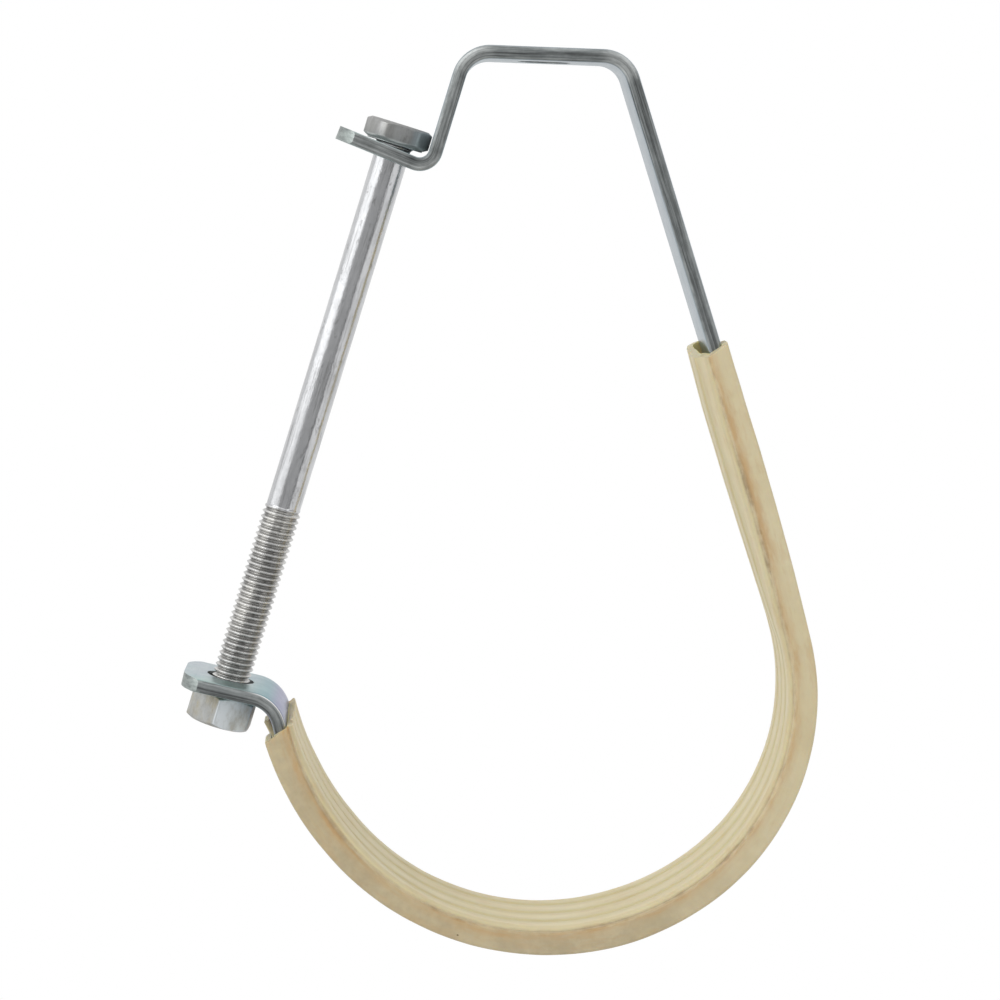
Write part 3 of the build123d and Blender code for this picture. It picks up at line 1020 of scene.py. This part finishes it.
        rough = graph.math("ADD", graph.math("MULTIPLY", blotch, 0.12), 0.46)
        fine = graph.noise(place, 1400.0, 3.0)
        height = graph.math("ADD", fine, graph.math("MULTIPLY", marks, -0.7))
        height = graph.math("ADD", height, graph.math("MULTIPLY", blotch, 1.2))
        bump = graph.put("ShaderNodeBump", {"Height": height, "Strength": 0.25, "Distance": 0.08 * MM})
        links = graph.tree.links
        links.new(colour, shader.inputs["Base Color"])
        links.new(rough, shader.inputs["Roughness"])
        links.new(bump.outputs[0], shader.inputs["Normal"])
        # The painted glow inside the channel.
        links.new(painted_inside_glow, shader.inputs["Emission Color"])
        shader.inputs["Emission Strength"].default_value = 1.0
        shader.inputs["Subsurface Weight"].default_value = 0.35
        shader.inputs["Subsurface Radius"].default_value = (2.0 * MM, 1.4 * MM, 0.7 * MM)
        shader.inputs["Subsurface Scale"].default_value = 1.0
        shader.inputs["Specular IOR Level"].default_value = 0.35
        return finish


# ---------------------------------------------------------------- the pieces


@dataclass
class Strap:
    """Flat strip, rolled and punched, then folded into bar, legs, jaw and tabs."""

    sizes: StripSizes = field(default_factory=StripSizes)
    edge_steps: int = 5
    rim_bevel: float = 0.14
    hole_sides: int = 72

    def build(self, bend: bpy.types.NodeTree, finish: bpy.types.Material) -> bpy.types.Object:
        """Makes the strip straight, punches it, trims its tips and bends it.

        Args:
            bend: The tree that bends a blank round a path.
            finish: Its material.

        Returns:
            The strap.
        """
        size = self.sizes
        long_side = size.long_side()
        short_side = size.short_side()
        points = short_side.points[::-1] + long_side.points[1:]
        stops = [short_side.run - stop for stop in reversed(short_side.stops)]
        stops += [short_side.run + stop for stop in long_side.stops[1:]]
        total = stops[-1]
        blank = self.straight_strip(stops)
        holes = [
            (size.up_tip, size.bolt_hole), (short_side.run, size.rod_hole), (total - size.low_tip, size.bolt_hole)
        ]
        cutters = [self.punch(level, across) for level, across in holes]
        cutters += [self.shear(0.0, 1.0), self.shear(total, -1.0)]
        cut_with(blank, cutters)
        edit_mesh(blank, self.soften_rims)
        path = path_curve("strap path", points)
        values = {"Path": path, "Unevenness": 0.03 * MM, "Uneven scale": 60.0, "Material": finish}
        run_tree(blank, bend, values)
        bpy.data.objects.remove(path)
        smooth_by_angle(blank, 32.0)
        return blank

    def marks(self) -> tuple[float, float, float, float]:
        """Runs along the strip of the short leg's top, the jaw's end, the lower tab's start and the tip."""
        short_side = self.sizes.short_side()
        long_side = self.sizes.long_side()
        start = short_side.run
        return start - short_side.stops[3], start + long_side.stops[7], start + long_side.stops[8], start + long_side.run

    def bends(self) -> list[tuple[float, float, float]]:
        """Runs along the strip between which its edges are painted lighter as a highlight, each with how much."""
        short_side = self.sizes.short_side()
        long_side = self.sizes.long_side()
        start = short_side.run
        return [
            (-5.0, start - short_side.stops[4], 0.45),
            (start - short_side.stops[4], start - short_side.stops[3], 0.9),
            (start - short_side.stops[3], start - short_side.stops[2], 0.5),
            (start - short_side.stops[2], start - short_side.stops[1], 0.9),
            (start + long_side.stops[1], start + long_side.stops[2], 1.0),
        ]

    def straight_strip(self, stops: list[float]) -> bpy.types.Object:
        """Draws the strip out straight, with rings close together where it will bend."""
        size = self.sizes
        spacing = []
        for start, end in zip(stops, stops[1:]):
            length = end - start
            spacing.append(0.55 if 2.0 < length < 12.0 else 1.4)
        half, depth, edge = size.width / 2, size.thick / 2, size.edge_round
        corners = [(half, -depth, edge), (half, depth, edge), (-half, depth, edge), (-half, -depth, edge)]
        outline = rounded_line(corners, self.edge_steps, True)
        return stretch_blank("folded_strap", outline, spread(stops, spacing))

    def punch(self, level: float, across: float) -> bpy.types.Object:
        """Makes the round punch for a hole.

        Args:
            level: Place of the hole along the strip.
            across: Width of the hole.

        Returns:
            The punch, which runs through the strip's thickness.
        """
        depth = self.sizes.thick
        ring = [TAU * (number + 0.5) / self.hole_sides for number in range(self.hole_sides)]
        outline = [(across / 2 * math.cos(a), level + across / 2 * math.sin(a)) for a in ring]
        return self.through_block("punch", outline, depth)

    def shear(self, level: float, inwards: float) -> bpy.types.Object:
        """Makes the shears that trim a tip.

        Args:
            level: Place of the tip along the strip.
            inwards: 1 where the strip runs up from the tip, -1 where it runs down from it.

        Returns:
            The block that is cut away.
        """
        size = self.sizes
        lean = math.acos(1 - size.tip_setback / size.tip_arc)
        flat = size.width / 2 - size.tip_arc * math.sin(lean)
        rim = []
        for number in range(13):
            angle = lean * number / 12
            rim.append((flat + size.tip_arc * math.sin(angle), size.tip_arc * (1 - math.cos(angle))))
        out = 6.0
        rim.append((rim[-1][0] + math.cos(lean) * out, rim[-1][1] + math.sin(lean) * out))
        beyond = [(rim[-1][0], -out)]
        half = rim + beyond
        outline = [(x, level + inwards * rise) for x, rise in half]
        outline += [(-x, level + inwards * rise) for x, rise in reversed(half)]
        return self.through_block("shears", outline, size.thick)

    def through_block(self, name: str, outline: list[Point2], depth: float) -> bpy.types.Object:
        """Makes a block that runs through the strip from an outline in its face."""
        count = len(outline)
        verts = [(x, -depth, z) for x, z in outline] + [(x, depth, z) for x, z in outline]
        faces: list[Sequence[int]] = [tuple(range(count)), tuple(reversed(range(count, 2 * count)))]
        faces += [(n, (n + 1) % count, (n + 1) % count + count, n + count) for n in range(count)]
        block = new_object(name, verts, faces)
        edit_mesh(block, turn_outwards)
        return block

    def soften_rims(self, mesh: bmesh.types.BMesh) -> None:
        """Takes the sharpness off the rims of the holes and the sheared tips."""
        bmesh.ops.remove_doubles(mesh, verts=mesh.verts[:], dist=0.002 * MM)
        sharp = [e for e in mesh.edges if len(e.link_faces) == 2 and e.calc_face_angle(0.0) > math.radians(38)]
        bmesh.ops.bevel(mesh, geom=sharp, offset=self.rim_bevel * MM, segments=2, profile=0.5,
                        affect="EDGES", clamp_overlap=True)

    def dress(self, piece: bpy.types.Object) -> None:
        """Puts the strap on its body in place of the CAD node."""
        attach(piece, Body.HANGER.value)
        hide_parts("strap")


@dataclass
class Lining:
    """Soft channel pushed over the jaw: a grooved pad, two walls and two lips."""

    strip: StripSizes = field(default_factory=StripSizes)
    clearance: float = 0.05
    wall: float = 1.45
    lip_thick: float = 1.2
    lip_reach: float = 6.0
    pad_thick: float = 1.8
    gape: float = 1.9
    shoulder_drop: float = 1.3
    shoulder_width: float = 1.5
    groove_count: int = 3
    groove_pitch: float = 7.9
    groove_width: float = 1.7
    groove_depth: float = 0.45
    on_leg: float = 63.5
    end_on_straight: float = 1.5
    upper_cut: tuple[float, float, float] = (-0.2, 0.08, 0.34)
    lower_cut: tuple[float, float, float] = (0.2, -0.05, 0.32)
    near_lip_short: float = 0.4
    end_flare: float = 0.85
    corner_steps: int = 4
    crease_in: float = 0.4
    crease_up: float = 0.2
    loose: tuple = (
        (0.0, -0.4, 0.0), (12.0, 0.1, 0.0), (30.0, 0.35, 0.0), (64.0, 0.2, 0.0), (100.0, 0.0, 0.2), (140.0, 0.0, 0.45),
        (165.0, -0.1, 0.1), (185.0, -0.05, 0.0), (208.0, 0.4, 0.0), (222.0, 0.25, 0.4), (234.0, -0.45, 0.95),
    )

    def build(self, bend: bpy.types.NodeTree, finish: bpy.types.Material) -> bpy.types.Object:
        """Makes the channel straight, trims its ends and bends it round the jaw.

        Args:
            bend: The tree that bends a blank round a path.
            finish: Its material.

        Returns:
            The lining.
        """
        line = self.strip.long_side()
        leg_end = line.stops[4]
        start = leg_end - self.on_leg
        end = line.stops[7] - self.strip.end_straight + self.end_on_straight
        length = end - start
        blank = stretch_blank("soft_lining", self.section(), spread([0.0, self.on_leg, length], [1.3, 1.15]))
        self.ease(blank, length)
        self.trim_ends(blank, length)
        path = path_curve("lining path", self.cut_path(line, start))
        values = {
            "Path": path, "Arch height": self.gape * MM, "Arch reach": self.on_leg * MM,
            "Arch half width": (self.strip.width / 2 + self.clearance) * MM,
            "Unevenness": 0.16 * MM, "Uneven scale": 90.0, "Material": finish,
        }
        run_tree(blank, bend, values)
        bpy.data.objects.remove(path)
        smooth_by_angle(blank, 40.0)
        return blank

    def section(self) -> list[Point2]:
        """Lays out the channel's section, x towards the front and y towards the pipe."""
        half_thick = self.strip.thick / 2
        slot = self.strip.width / 2 + self.clearance
        outer = slot + self.wall
        floor = half_thick + self.clearance
        pad_half = outer - self.shoulder_width
        face = floor + self.pad_thick
        shoulder = face - self.shoulder_drop
        lip = floor + self.lip_thick
        lip_edge = slot - self.lip_reach
        crease_x, crease_y = self.crease()
        right = [
            (pad_half - 0.2, face, 0.7), (outer - 0.15, crease_y + 0.65, 0.5), (crease_x, crease_y, 0.12),
            (outer, shoulder - 0.3, 0.35), (outer, -lip, 0.75),
            (lip_edge, -lip, 0.45), (lip_edge, -floor, 0.35), (slot, -floor, 0.3), (slot, floor, 0.3),
        ]
        floor_line = [(x, floor, 0.0) for x in np.linspace(slot - 1.2, 1.2 - slot, 15)]
        left = [(-x, y, r) for x, y, r in reversed(right)]
        pad = []
        for number in range(self.groove_count):
            centre = (number - (self.groove_count - 1) / 2) * self.groove_pitch
            half = self.groove_width / 2
            pad += [(centre - half, face, 0.35), (centre - 0.3, face - self.groove_depth, 0.3),
                    (centre + 0.3, face - self.groove_depth, 0.3), (centre + half, face, 0.35)]
            if number < self.groove_count - 1:
                gap = self.groove_pitch - self.groove_width
                pad += [(centre + half + gap * share, face, 0.0) for share in (0.25, 0.5, 0.75)]
        return rounded_line(right + floor_line + left + pad, self.corner_steps, True)

    def crease(self) -> Point2:
        """Place in the section of the crease between a wall and the pad's rounded border."""
        outer = self.strip.width / 2 + self.clearance + self.wall
        shoulder = self.strip.thick / 2 + self.clearance + self.pad_thick - self.shoulder_drop
        return outer - self.crease_in, shoulder + self.crease_up

    def pad_face(self) -> float:
        """Height of the pad's face in the section."""
        return self.strip.thick / 2 + self.clearance + self.pad_thick

    def ease(self, blank: bpy.types.Object, length: float) -> None:
        """Lets the channel sit loose on the strap, and spreads its lips at the lower end.

        Args:
            blank: The straight channel.
            length: Its length in millimetres.
        """
        runs, inner, outer = zip(*self.loose)
        lip_from = self.strip.thick / 2 + self.clearance
        for vertex in blank.data.vertices:
            level = vertex.co.z / MM
            depth = vertex.co.y / MM
            if depth > lip_from - 0.1:
                share = min(1.0, (depth - lip_from + 0.1) / 1.0)
                vertex.co.y += share * float(np.interp(level, runs, inner)) * MM
            elif depth < -lip_from + 0.1:
                flare = max(0.0, 1 - (length - level) / 9.0) ** 2 * self.end_flare if vertex.co.x < 0 else 0.0
                vertex.co.y -= (float(np.interp(level, runs, outer)) + flare) * MM

    def trim_ends(self, blank: bpy.types.Object, length: float) -> None:
        """Trims both ends: each cut leans, and the lower one leaves the pad longer than the lips.

        Args:
            blank: The straight channel.
            length: Its length in millimetres.
        """
        for vertex in blank.data.vertices:
            x, y, level = (c / MM for c in vertex.co)
            upper = max(0.0, 1 - level / 12.0)
            lower = max(0.0, 1 - (length - level) / 12.0)
            ripple = 0.22 * math.sin(x * 0.9 + 1.0) + 0.16 * math.sin(y * 2.3 + x * 0.3)
            shift = upper * (self.upper_cut[0] + self.upper_cut[1] * x + self.upper_cut[2] * y + ripple)
            shift += lower * (self.lower_cut[0] + self.lower_cut[1] * x + self.lower_cut[2] * y + ripple)
            if y < -1.4 and x > 0:
                shift -= lower * self.near_lip_short
            vertex.co.z += shift * MM

    def cut_path(self, line: BentLine, start: float) -> list[Point2]:
        """Takes the stretch of the strip's line that the lining covers, from a run on.

        Args:
            line: The strip's line from the bar's centre.
            start: Run at which the lining begins.

        Returns:
            The points from there on, with a short straight beyond the jaw.
        """
        size = self.strip
        turn = 90 - size.long_lean
        tangent = size.bar_bend * math.tan(math.radians(turn) / 2)
        lead = BentLine(0.0, [(0.0, -size.thick / 2)])
        lead.straight(size.bar_length / 2 - tangent).bend(size.bar_bend, -turn)
        lead.straight(start - lead.run)
        tail = BentLine(lead.heading, [lead.points[-1]])
        tail.straight(line.stops[3] - start)
        tail.bend(size.bow_radius, -math.degrees(size.bow_length / size.bow_radius))
        tail.bend(size.side_radius, -size.side_turn).bend(size.seat_radius, -size.seat_turn)
        tail.straight(size.end_straight + 4.0)
        return tail.points

    def dress(self, piece: bpy.types.Object) -> None:
        """Puts the lining on its body in place of the CAD node."""
        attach(piece, Body.HANGER.value)
        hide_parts("lining")


@dataclass(frozen=True)
class HexShape:
    """Hexagon as forged: rounded corners and cones that take the corners down at both ends."""

    across_flats: float = 13.0
    across_corners: float = 15.0
    face_across: float = 12.1
    chamfer: float = 30.0
    corner_round: float = 0.35
    rim_round: float = 0.3

    def angles(self) -> list[float]:
        """Directions at which the hexagon is measured, close together near its corners."""
        past = [0, 0.5, 1.2, 2.2, 3.8, 6.5, 11, 18, 26, 34, 42, 49, 53.5, 56.2, 57.8, 58.8, 59.5]
        return [math.radians(60 * corner + angle) for corner in range(6) for angle in past]

    def radius(self, angle: float) -> float:
        """Distance from the axis to the side in a direction.

        Args:
            angle: Direction in radians; 0 is a corner.

        Returns:
            The distance in millimetres.
        """
        apothem = self.across_flats / 2
        off = angle % (math.pi / 3) - math.pi / 6
        flat = apothem / math.cos(off)
        corner = math.pi / 6 - abs(off)
        centre = (apothem - self.corner_round) / math.cos(math.pi / 6)
        reach = math.atan2(self.corner_round * 0.5, centre + self.corner_round * math.cos(math.pi / 6))
        if corner < reach:
            inner = self.corner_round**2 - (centre * math.sin(corner))**2
            flat = centre * math.cos(corner) + math.sqrt(max(inner, 0.0))
        return min(flat, self.across_corners / 2)

    def side_line(self, angle: float, bottom: float, top: float) -> list[tuple[float, float, float]]:
        """Corners of the outline in one direction, from the lower face to the upper face.

        Args:
            angle: Direction in radians.
            bottom: Height of the lower face.
            top: Height of the upper face.

        Returns:
            Each corner's distance from the axis, height and rounding.
        """
        radius = self.radius(angle)
        face = self.face_across / 2
        drop = (radius - face) * math.tan(math.radians(self.chamfer))
        return [
            (face, bottom, self.rim_round), (radius, bottom + drop, self.rim_round),
            (radius, top - drop, self.rim_round), (face, top, self.rim_round),
        ]


def turned(name: str, angles: Sequence[float], lines: Sequence[Sequence[Point2]], ring: bool) -> bpy.types.Object:
    """Makes a closed mesh from one outline for each direction round Z.

    Args:
        name: Name of the object.
        angles: Directions in radians.
        lines: For each direction, the outline as distances from the axis and heights.
        ring: Whether the outline runs back to its start round a hole.

    Returns:
        The new object.
    """
    count = len(lines[0])
    verts = []
    for angle, line in zip(angles, lines):
        verts += [(r * math.cos(angle), r * math.sin(angle), z) for r, z in line]
    faces = []
    for col in range(len(angles)):
        after = (col + 1) % len(angles)
        for row in range(count if ring else count - 1):
            below, above = row, (row + 1) % count
            faces.append((col * count + below, after * count + below, after * count + above, col * count + above))
    obj = new_object(name, verts, faces)
    edit_mesh(obj, turn_outwards)
    return obj


@dataclass(frozen=True)
class BoltPlace:
    """Where the bolt's axis lies: its direction and the seats of head and nut, in millimetres."""

    head_seat: tuple[float, float, float]
    axis: tuple[float, float, float]
    nut_top: tuple[float, float, float]

    def matrix(self, origin: Vector, turn: float) -> Matrix:
        """Place of a fastener made round Z.

        Args:
            origin: Where its own origin goes, in millimetres.
            turn: Degrees that it is turned about the axis.

        Returns:
            The matrix in metres.
        """
        up = Vector(self.axis).normalized()
        side = Vector((0, 1, 0)).cross(up)
        away = up.cross(side)
        turned_about = Matrix.Rotation(math.radians(turn), 4, "Z")
        basis = Matrix((side, away, up)).transposed().to_4x4()
        return Matrix.Translation(origin * MM) @ basis @ turned_about


@dataclass
class SideBolt:
    """Long hexagon bolt: forged head, plain shank thinner than the thread, rolled thread."""

    place: BoltPlace
    shape: HexShape = field(default_factory=lambda: HexShape(across_corners=14.0))
    head_height: float = 4.4
    washer_face: float = 0.3
    head_turn: float = 3.5
    shank_across: float = 7.2
    shank_length: float = 79.0
    thread_length: float = 46.0
    thread_across: float = 7.98
    root_across: float = 6.75
    pitch: float = 1.25
    point_across: float = 6.2
    sides: int = 56
    rows_per_turn: int = 14

    def build(self, thread: bpy.types.NodeTree, finish: bpy.types.Material) -> bpy.types.Object:
        """Makes the head, the shank and the thread, and joins them on the bolt's axis.

        Args:
            thread: The tree that rolls a thread.
            finish: The bolt's material.

        Returns:
            The bolt.
        """
        head = self.head()
        head.data.transform(Matrix.Rotation(math.radians(self.head_turn), 4, "Z"))
        shank = self.shank()
        rolled = new_object("thread", [], [])
        values = {
            "Length": (self.thread_length + 0.6) * MM, "Pitch": self.pitch * MM,
            "Crest radius": self.thread_across / 2 * MM, "Root radius": self.root_across / 2 * MM,
            "Point radius": self.point_across / 2 * MM, "Run-out": 1.6 * MM, "Sides": self.sides,
            "Rows": int(self.rows_per_turn * (self.thread_length + 0.6) / self.pitch), "Material": finish,
        }
        run_tree(rolled, thread, values)
        rolled.data.transform(Matrix.Translation((0, 0, -(self.shank_length + self.thread_length) * MM)))
        edit_mesh(rolled, turn_outwards)
        bolt = join_all("long_bolt", [head, shank, rolled])
        note_straight(bolt)
        bolt.data.transform(self.place.matrix(Vector(self.place.head_seat), 0.0))
        bolt.data.materials.clear()
        bolt.data.materials.append(finish)
        smooth_by_angle(bolt, 50.0)
        return bolt

    def head(self) -> bpy.types.Object:
        """Makes the head, with its washer face below."""
        angles = self.shape.angles()
        lines = []
        for angle in angles:
            sides = self.shape.side_line(angle, self.washer_face, self.head_height)
            face = self.shape.face_across / 2
            corners = [(0.0, 0.0, 0.0), (face - 0.15, 0.0, 0.12), (face - 0.15, self.washer_face, 0.0)]
            corners += sides + [(0.0, self.head_height, 0.0)]
            lines.append(rounded_line(corners, 3, False))
        return turned("head", angles, lines, False)

    def shank(self) -> bpy.types.Object:
        """Makes the plain shank, with the fillet under the head and the taper to the thread."""
        radius = self.shank_across / 2
        corners = [
            (0.0, 0.2, 0.0), (radius + 0.45, 0.2, 0.0), (radius + 0.45, 0.0, 0.0), (radius, -0.5, 0.4),
            (radius, -self.shank_length + 0.25, 0.2), (radius - 0.25, -self.shank_length - 0.4, 0.0),
            (0.0, -self.shank_length - 0.4, 0.0),
        ]
        line = rounded_line(corners, 3, False)
        angles = [TAU * number / 64 for number in range(64)]
        return turned("shank", angles, [line] * len(angles), False)

    def dress(self, piece: bpy.types.Object) -> None:
        """Puts the bolt on its body in place of the CAD node."""
        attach(piece, Body.BOLT.value)
        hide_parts("side_bolt")


@dataclass
class HexNut:
    """Hexagon nut below the lower tab, with its corners taken down at both ends."""

    place: BoltPlace
    shape: HexShape = field(default_factory=HexShape)
    height: float = 6.8
    turn: float = 25.0
    bore: float = 8.1
    countersink: float = 0.5

    def build(self, finish: bpy.types.Material) -> bpy.types.Object:
        """Makes the nut on the bolt's axis.

        Args:
            finish: The nut's material.

        Returns:
            The nut.
        """
        angles = self.shape.angles()
        hole = self.bore / 2
        lines = []
        for angle in angles:
            corners = [(hole + self.countersink, 0.0, 0.08)] + self.shape.side_line(angle, 0.0, self.height)
            corners += [
                (hole + self.countersink, self.height, 0.08), (hole, self.height - self.countersink, 0.0),
                (hole, self.countersink, 0.0),
            ]
            lines.append(rounded_line(corners, 3, True))
        nut = turned("closing_nut", angles, lines, True)
        note_straight(nut)
        up = Vector(self.place.axis).normalized()
        origin = Vector(self.place.nut_top) - up * self.height
        nut.data.transform(self.place.matrix(origin, self.turn))
        nut.data.materials.append(finish)
        smooth_by_angle(nut, 50.0)
        return nut

    def dress(self, piece: bpy.types.Object) -> None:
        """Puts the nut on its body in place of the CAD node."""
        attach(piece, Body.NUT.value)
        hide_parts("hex_nut")


# ---------------------------------------------------------------- the studio


@dataclass
class Studio:
    """Camera, lamps, pale surroundings, floor and the grey and bright cards that metal reflects."""

    camera_place: tuple[float, float, float] = (-24.86, -707.37, -24.24)
    across: tuple[float, float, float] = (0.999067, -0.0232585, 0.0363894)
    down: tuple[float, float, float] = (0.0339213, -0.0989040, -0.9945187)
    ahead: tuple[float, float, float] = (0.02673, 0.9948251, -0.0980227)
    lens: float = 122.316
    surround: float = 0.56
    floor_level: float = -0.42

    def build(self) -> None:
        """Builds the whole studio."""
        self.camera()
        self.world()
        self.lamp("key lamp", (-0.95, -0.75, 0.75), 0.8, 7.5)
        self.lamp("fill lamp", (1.1, -0.9, 0.35), 0.9, 2.5)
        self.card("front card", (-0.14, -1.35, -0.2), (1.86, 1.9), 0.46)
        self.card("dark slit", (0.76, -1.28, -0.2), (0.24, 1.9), 0.01)
        self.card("left card", (-0.95, -0.36, 0.42), (1.1, 0.88), 1.9, 112.0)
        self.card("right card", (1.12, -0.35, 0.42), (1.5, 0.88), 0.5, 80.0)
        self.floor()

    def camera(self) -> None:
        """Sets the camera where the photograph was taken from."""
        data = bpy.data.cameras.new("camera")
        data.lens = self.lens
        data.sensor_width = 36.0
        data.clip_start = 0.01
        data.clip_end = 50.0
        obj = bpy.data.objects.new("camera", data)
        up = -Vector(self.down)
        back = -Vector(self.ahead)
        turn = Matrix((Vector(self.across), up, back)).transposed().to_4x4()
        obj.matrix_world = Matrix.Translation(Vector(self.camera_place) * MM) @ turn
        bpy.context.scene.collection.objects.link(obj)
        bpy.context.scene.camera = obj

    def world(self) -> None:
        """Makes the surroundings white to the eye and in reflections, and a plain pale light otherwise."""
        world = bpy.data.worlds.new("surroundings")
        bpy.context.scene.world = world
        world.use_nodes = True
        graph = Graph(world.node_tree)
        world.node_tree.nodes.clear()
        rays = graph.put("ShaderNodeLightPath").outputs
        seen = graph.math("MAXIMUM", rays["Is Camera Ray"], rays["Is Glossy Ray"])
        seen = graph.math("MAXIMUM", seen, rays["Is Transmission Ray"])
        soft = graph.put("ShaderNodeBackground", {"Color": (1.0, 1.0, 1.0, 1.0), "Strength": self.surround})
        white = graph.put("ShaderNodeBackground", {"Color": (1.0, 1.0, 1.0, 1.0), "Strength": 1.0})
        both = graph.put("ShaderNodeMixShader", {0: seen, 1: soft.outputs[0], 2: white.outputs[0]})
        graph.put("ShaderNodeOutputWorld", {0: both.outputs[0]})

    def lamp(self, name: str, place: tuple[float, float, float], size: float, power: float) -> None:
        """Hangs a soft square lamp that faces the part.

        Args:
            name: Name of the lamp.
            place: Its place in metres.
            size: Its side in metres.
            power: Its power in watts.
        """
        data = bpy.data.lights.new(name, "AREA")
        data.shape = "SQUARE"
        data.size = size
        data.energy = power
        obj = bpy.data.objects.new(name, data)
        obj.location = place
        aim = Vector((0.0, 0.0, -0.09)) - Vector(place)
        obj.rotation_euler = aim.to_track_quat("-Z", "Y").to_euler()
        bpy.context.scene.collection.objects.link(obj)

    def card(self, name: str, place: tuple[float, float, float], size: tuple[float, float],
             glow_level: float, turn: float = 0.0) -> None:
        """Stands a glowing card that only reflections show.

        Args:
            name: Name of the card.
            place: Its centre in metres.
            size: Its width and height in metres.
            glow_level: How bright it is, where 1 is white.
            turn: Degrees that it is turned about Z from facing the front.
        """
        half_wide, half_high = size[0] / 2 / MM, size[1] / 2 / MM
        x, y, z = (c / MM for c in place)
        to_x, to_y = half_wide * math.cos(math.radians(turn)), half_wide * math.sin(math.radians(turn))
        verts = [(x - to_x, y - to_y, z - half_high), (x + to_x, y + to_y, z - half_high),
                 (x + to_x, y + to_y, z + half_high), (x - to_x, y - to_y, z + half_high)]
        card = new_object(name, verts, [(0, 1, 2, 3)])
        finish = bpy.data.materials.new(name)
        finish.use_nodes = True
        graph = Graph(finish.node_tree)
        finish.node_tree.nodes.clear()
        glow = graph.put("ShaderNodeEmission", {"Color": (1.0, 1.0, 1.0, 1.0), "Strength": glow_level})
        graph.put("ShaderNodeOutputMaterial", {0: glow.outputs[0]})
        card.data.materials.append(finish)
        card.visible_camera = False
        card.visible_diffuse = False
        card.visible_shadow = False
        card.visible_transmission = False

    def floor(self) -> None:
        """Lays a round pale floor well below the part, which fades out towards its rim."""
        rings = [0.0, 0.35, 0.5, 0.62, 0.74]
        sides = 64
        verts = [(0.0, 0.0, self.floor_level / MM)]
        for radius in rings[1:]:
            for number in range(sides):
                angle = TAU * number / sides
                verts.append((radius / MM * math.cos(angle), radius / MM * math.sin(angle), self.floor_level / MM))
        faces: list[Sequence[int]] = [(0, 1 + n, 1 + (n + 1) % sides) for n in range(sides)]
        for ring in range(len(rings) - 2):
            base = 1 + ring * sides
            for n in range(sides):
                after = (n + 1) % sides
                faces.append((base + n, base + sides + n, base + sides + after, base + after))
        floor = new_object("floor", verts, faces)
        finish = bpy.data.materials.new("pale floor")
        finish.use_nodes = True
        graph = Graph(finish.node_tree)
        finish.node_tree.nodes.clear()
        place = graph.put("ShaderNodeTexCoord").outputs["Object"]
        x, y, _ = graph.split(place)
        away = graph.math("SQRT", graph.math("ADD", graph.math("MULTIPLY", x, x), graph.math("MULTIPLY", y, y)))
        fade = graph.remap(away, 0.3, 0.72, 0.0, 1.0, smooth=True)
        paint = graph.put("ShaderNodeBsdfDiffuse", {"Color": (0.86, 0.86, 0.86, 1.0)})
        clear = graph.put("ShaderNodeBsdfTransparent")
        both = graph.put("ShaderNodeMixShader", {0: fade, 1: paint.outputs[0], 2: clear.outputs[0]})
        graph.put("ShaderNodeOutputMaterial", {0: both.outputs[0]})
        floor.data.materials.append(finish)


def main() -> None:
    """Builds every piece in order, dresses it and reports it."""
    logging.basicConfig(level=logging.INFO, format="%(message)s")
    bpy.context.scene.view_settings.view_transform = "Standard"
    effects = Effects.build()
    bend = bending_tree()
    thread = thread_tree()
    bolt_finish = ZincFastener("bright zinc bolt", (204, 205, 207), (214, 213, 210), (174, 175, 177), (84, 82, 78), 0.6, 0.14,
                               (154, 154, 151), 0.36, 0.58, 260.0, -79.5, -26.5, (214, 218, 216), 0.9, 0.85)
    nut_finish = ZincFastener("stained zinc nut", (190, 196, 204), (190, 196, 204), (166, 152, 114), (96, 90, 82), 1.0, 0.3,
                              (184, 186, 184), 0.34, 0.35, 300.0, -1.0, -90.0, (236, 243, 248), 0.9, 0.0)
    place = BoltPlace((-30.3675, 0.0, -20.8294), (0.262361, 0.0, 0.96497), (-61.8007, 0.0, -136.442))
    strap = Strap()
    lining = Lining()
    strap_finish = ZincStrip().build(effects, strap)
    lining_finish = SoftLining().build(effects, lining)
    bolt = SideBolt(place)
    nut = HexNut(place)
    makers = [
        (strap, lambda: strap.build(bend, strap_finish)),
        (lining, lambda: lining.build(bend, lining_finish)),
        (bolt, lambda: bolt.build(thread, bolt_finish.build(effects))),
        (nut, lambda: nut.build(nut_finish.build(effects))),
    ]
    for maker, make in makers:
        piece = make()
        maker.dress(piece)
        triangles = sum(len(p.vertices) - 2 for p in piece.data.polygons)
        LOG.info("%s: %d triangles", piece.name, triangles)
    Studio().build()


if __name__ == "__main__":
    main()
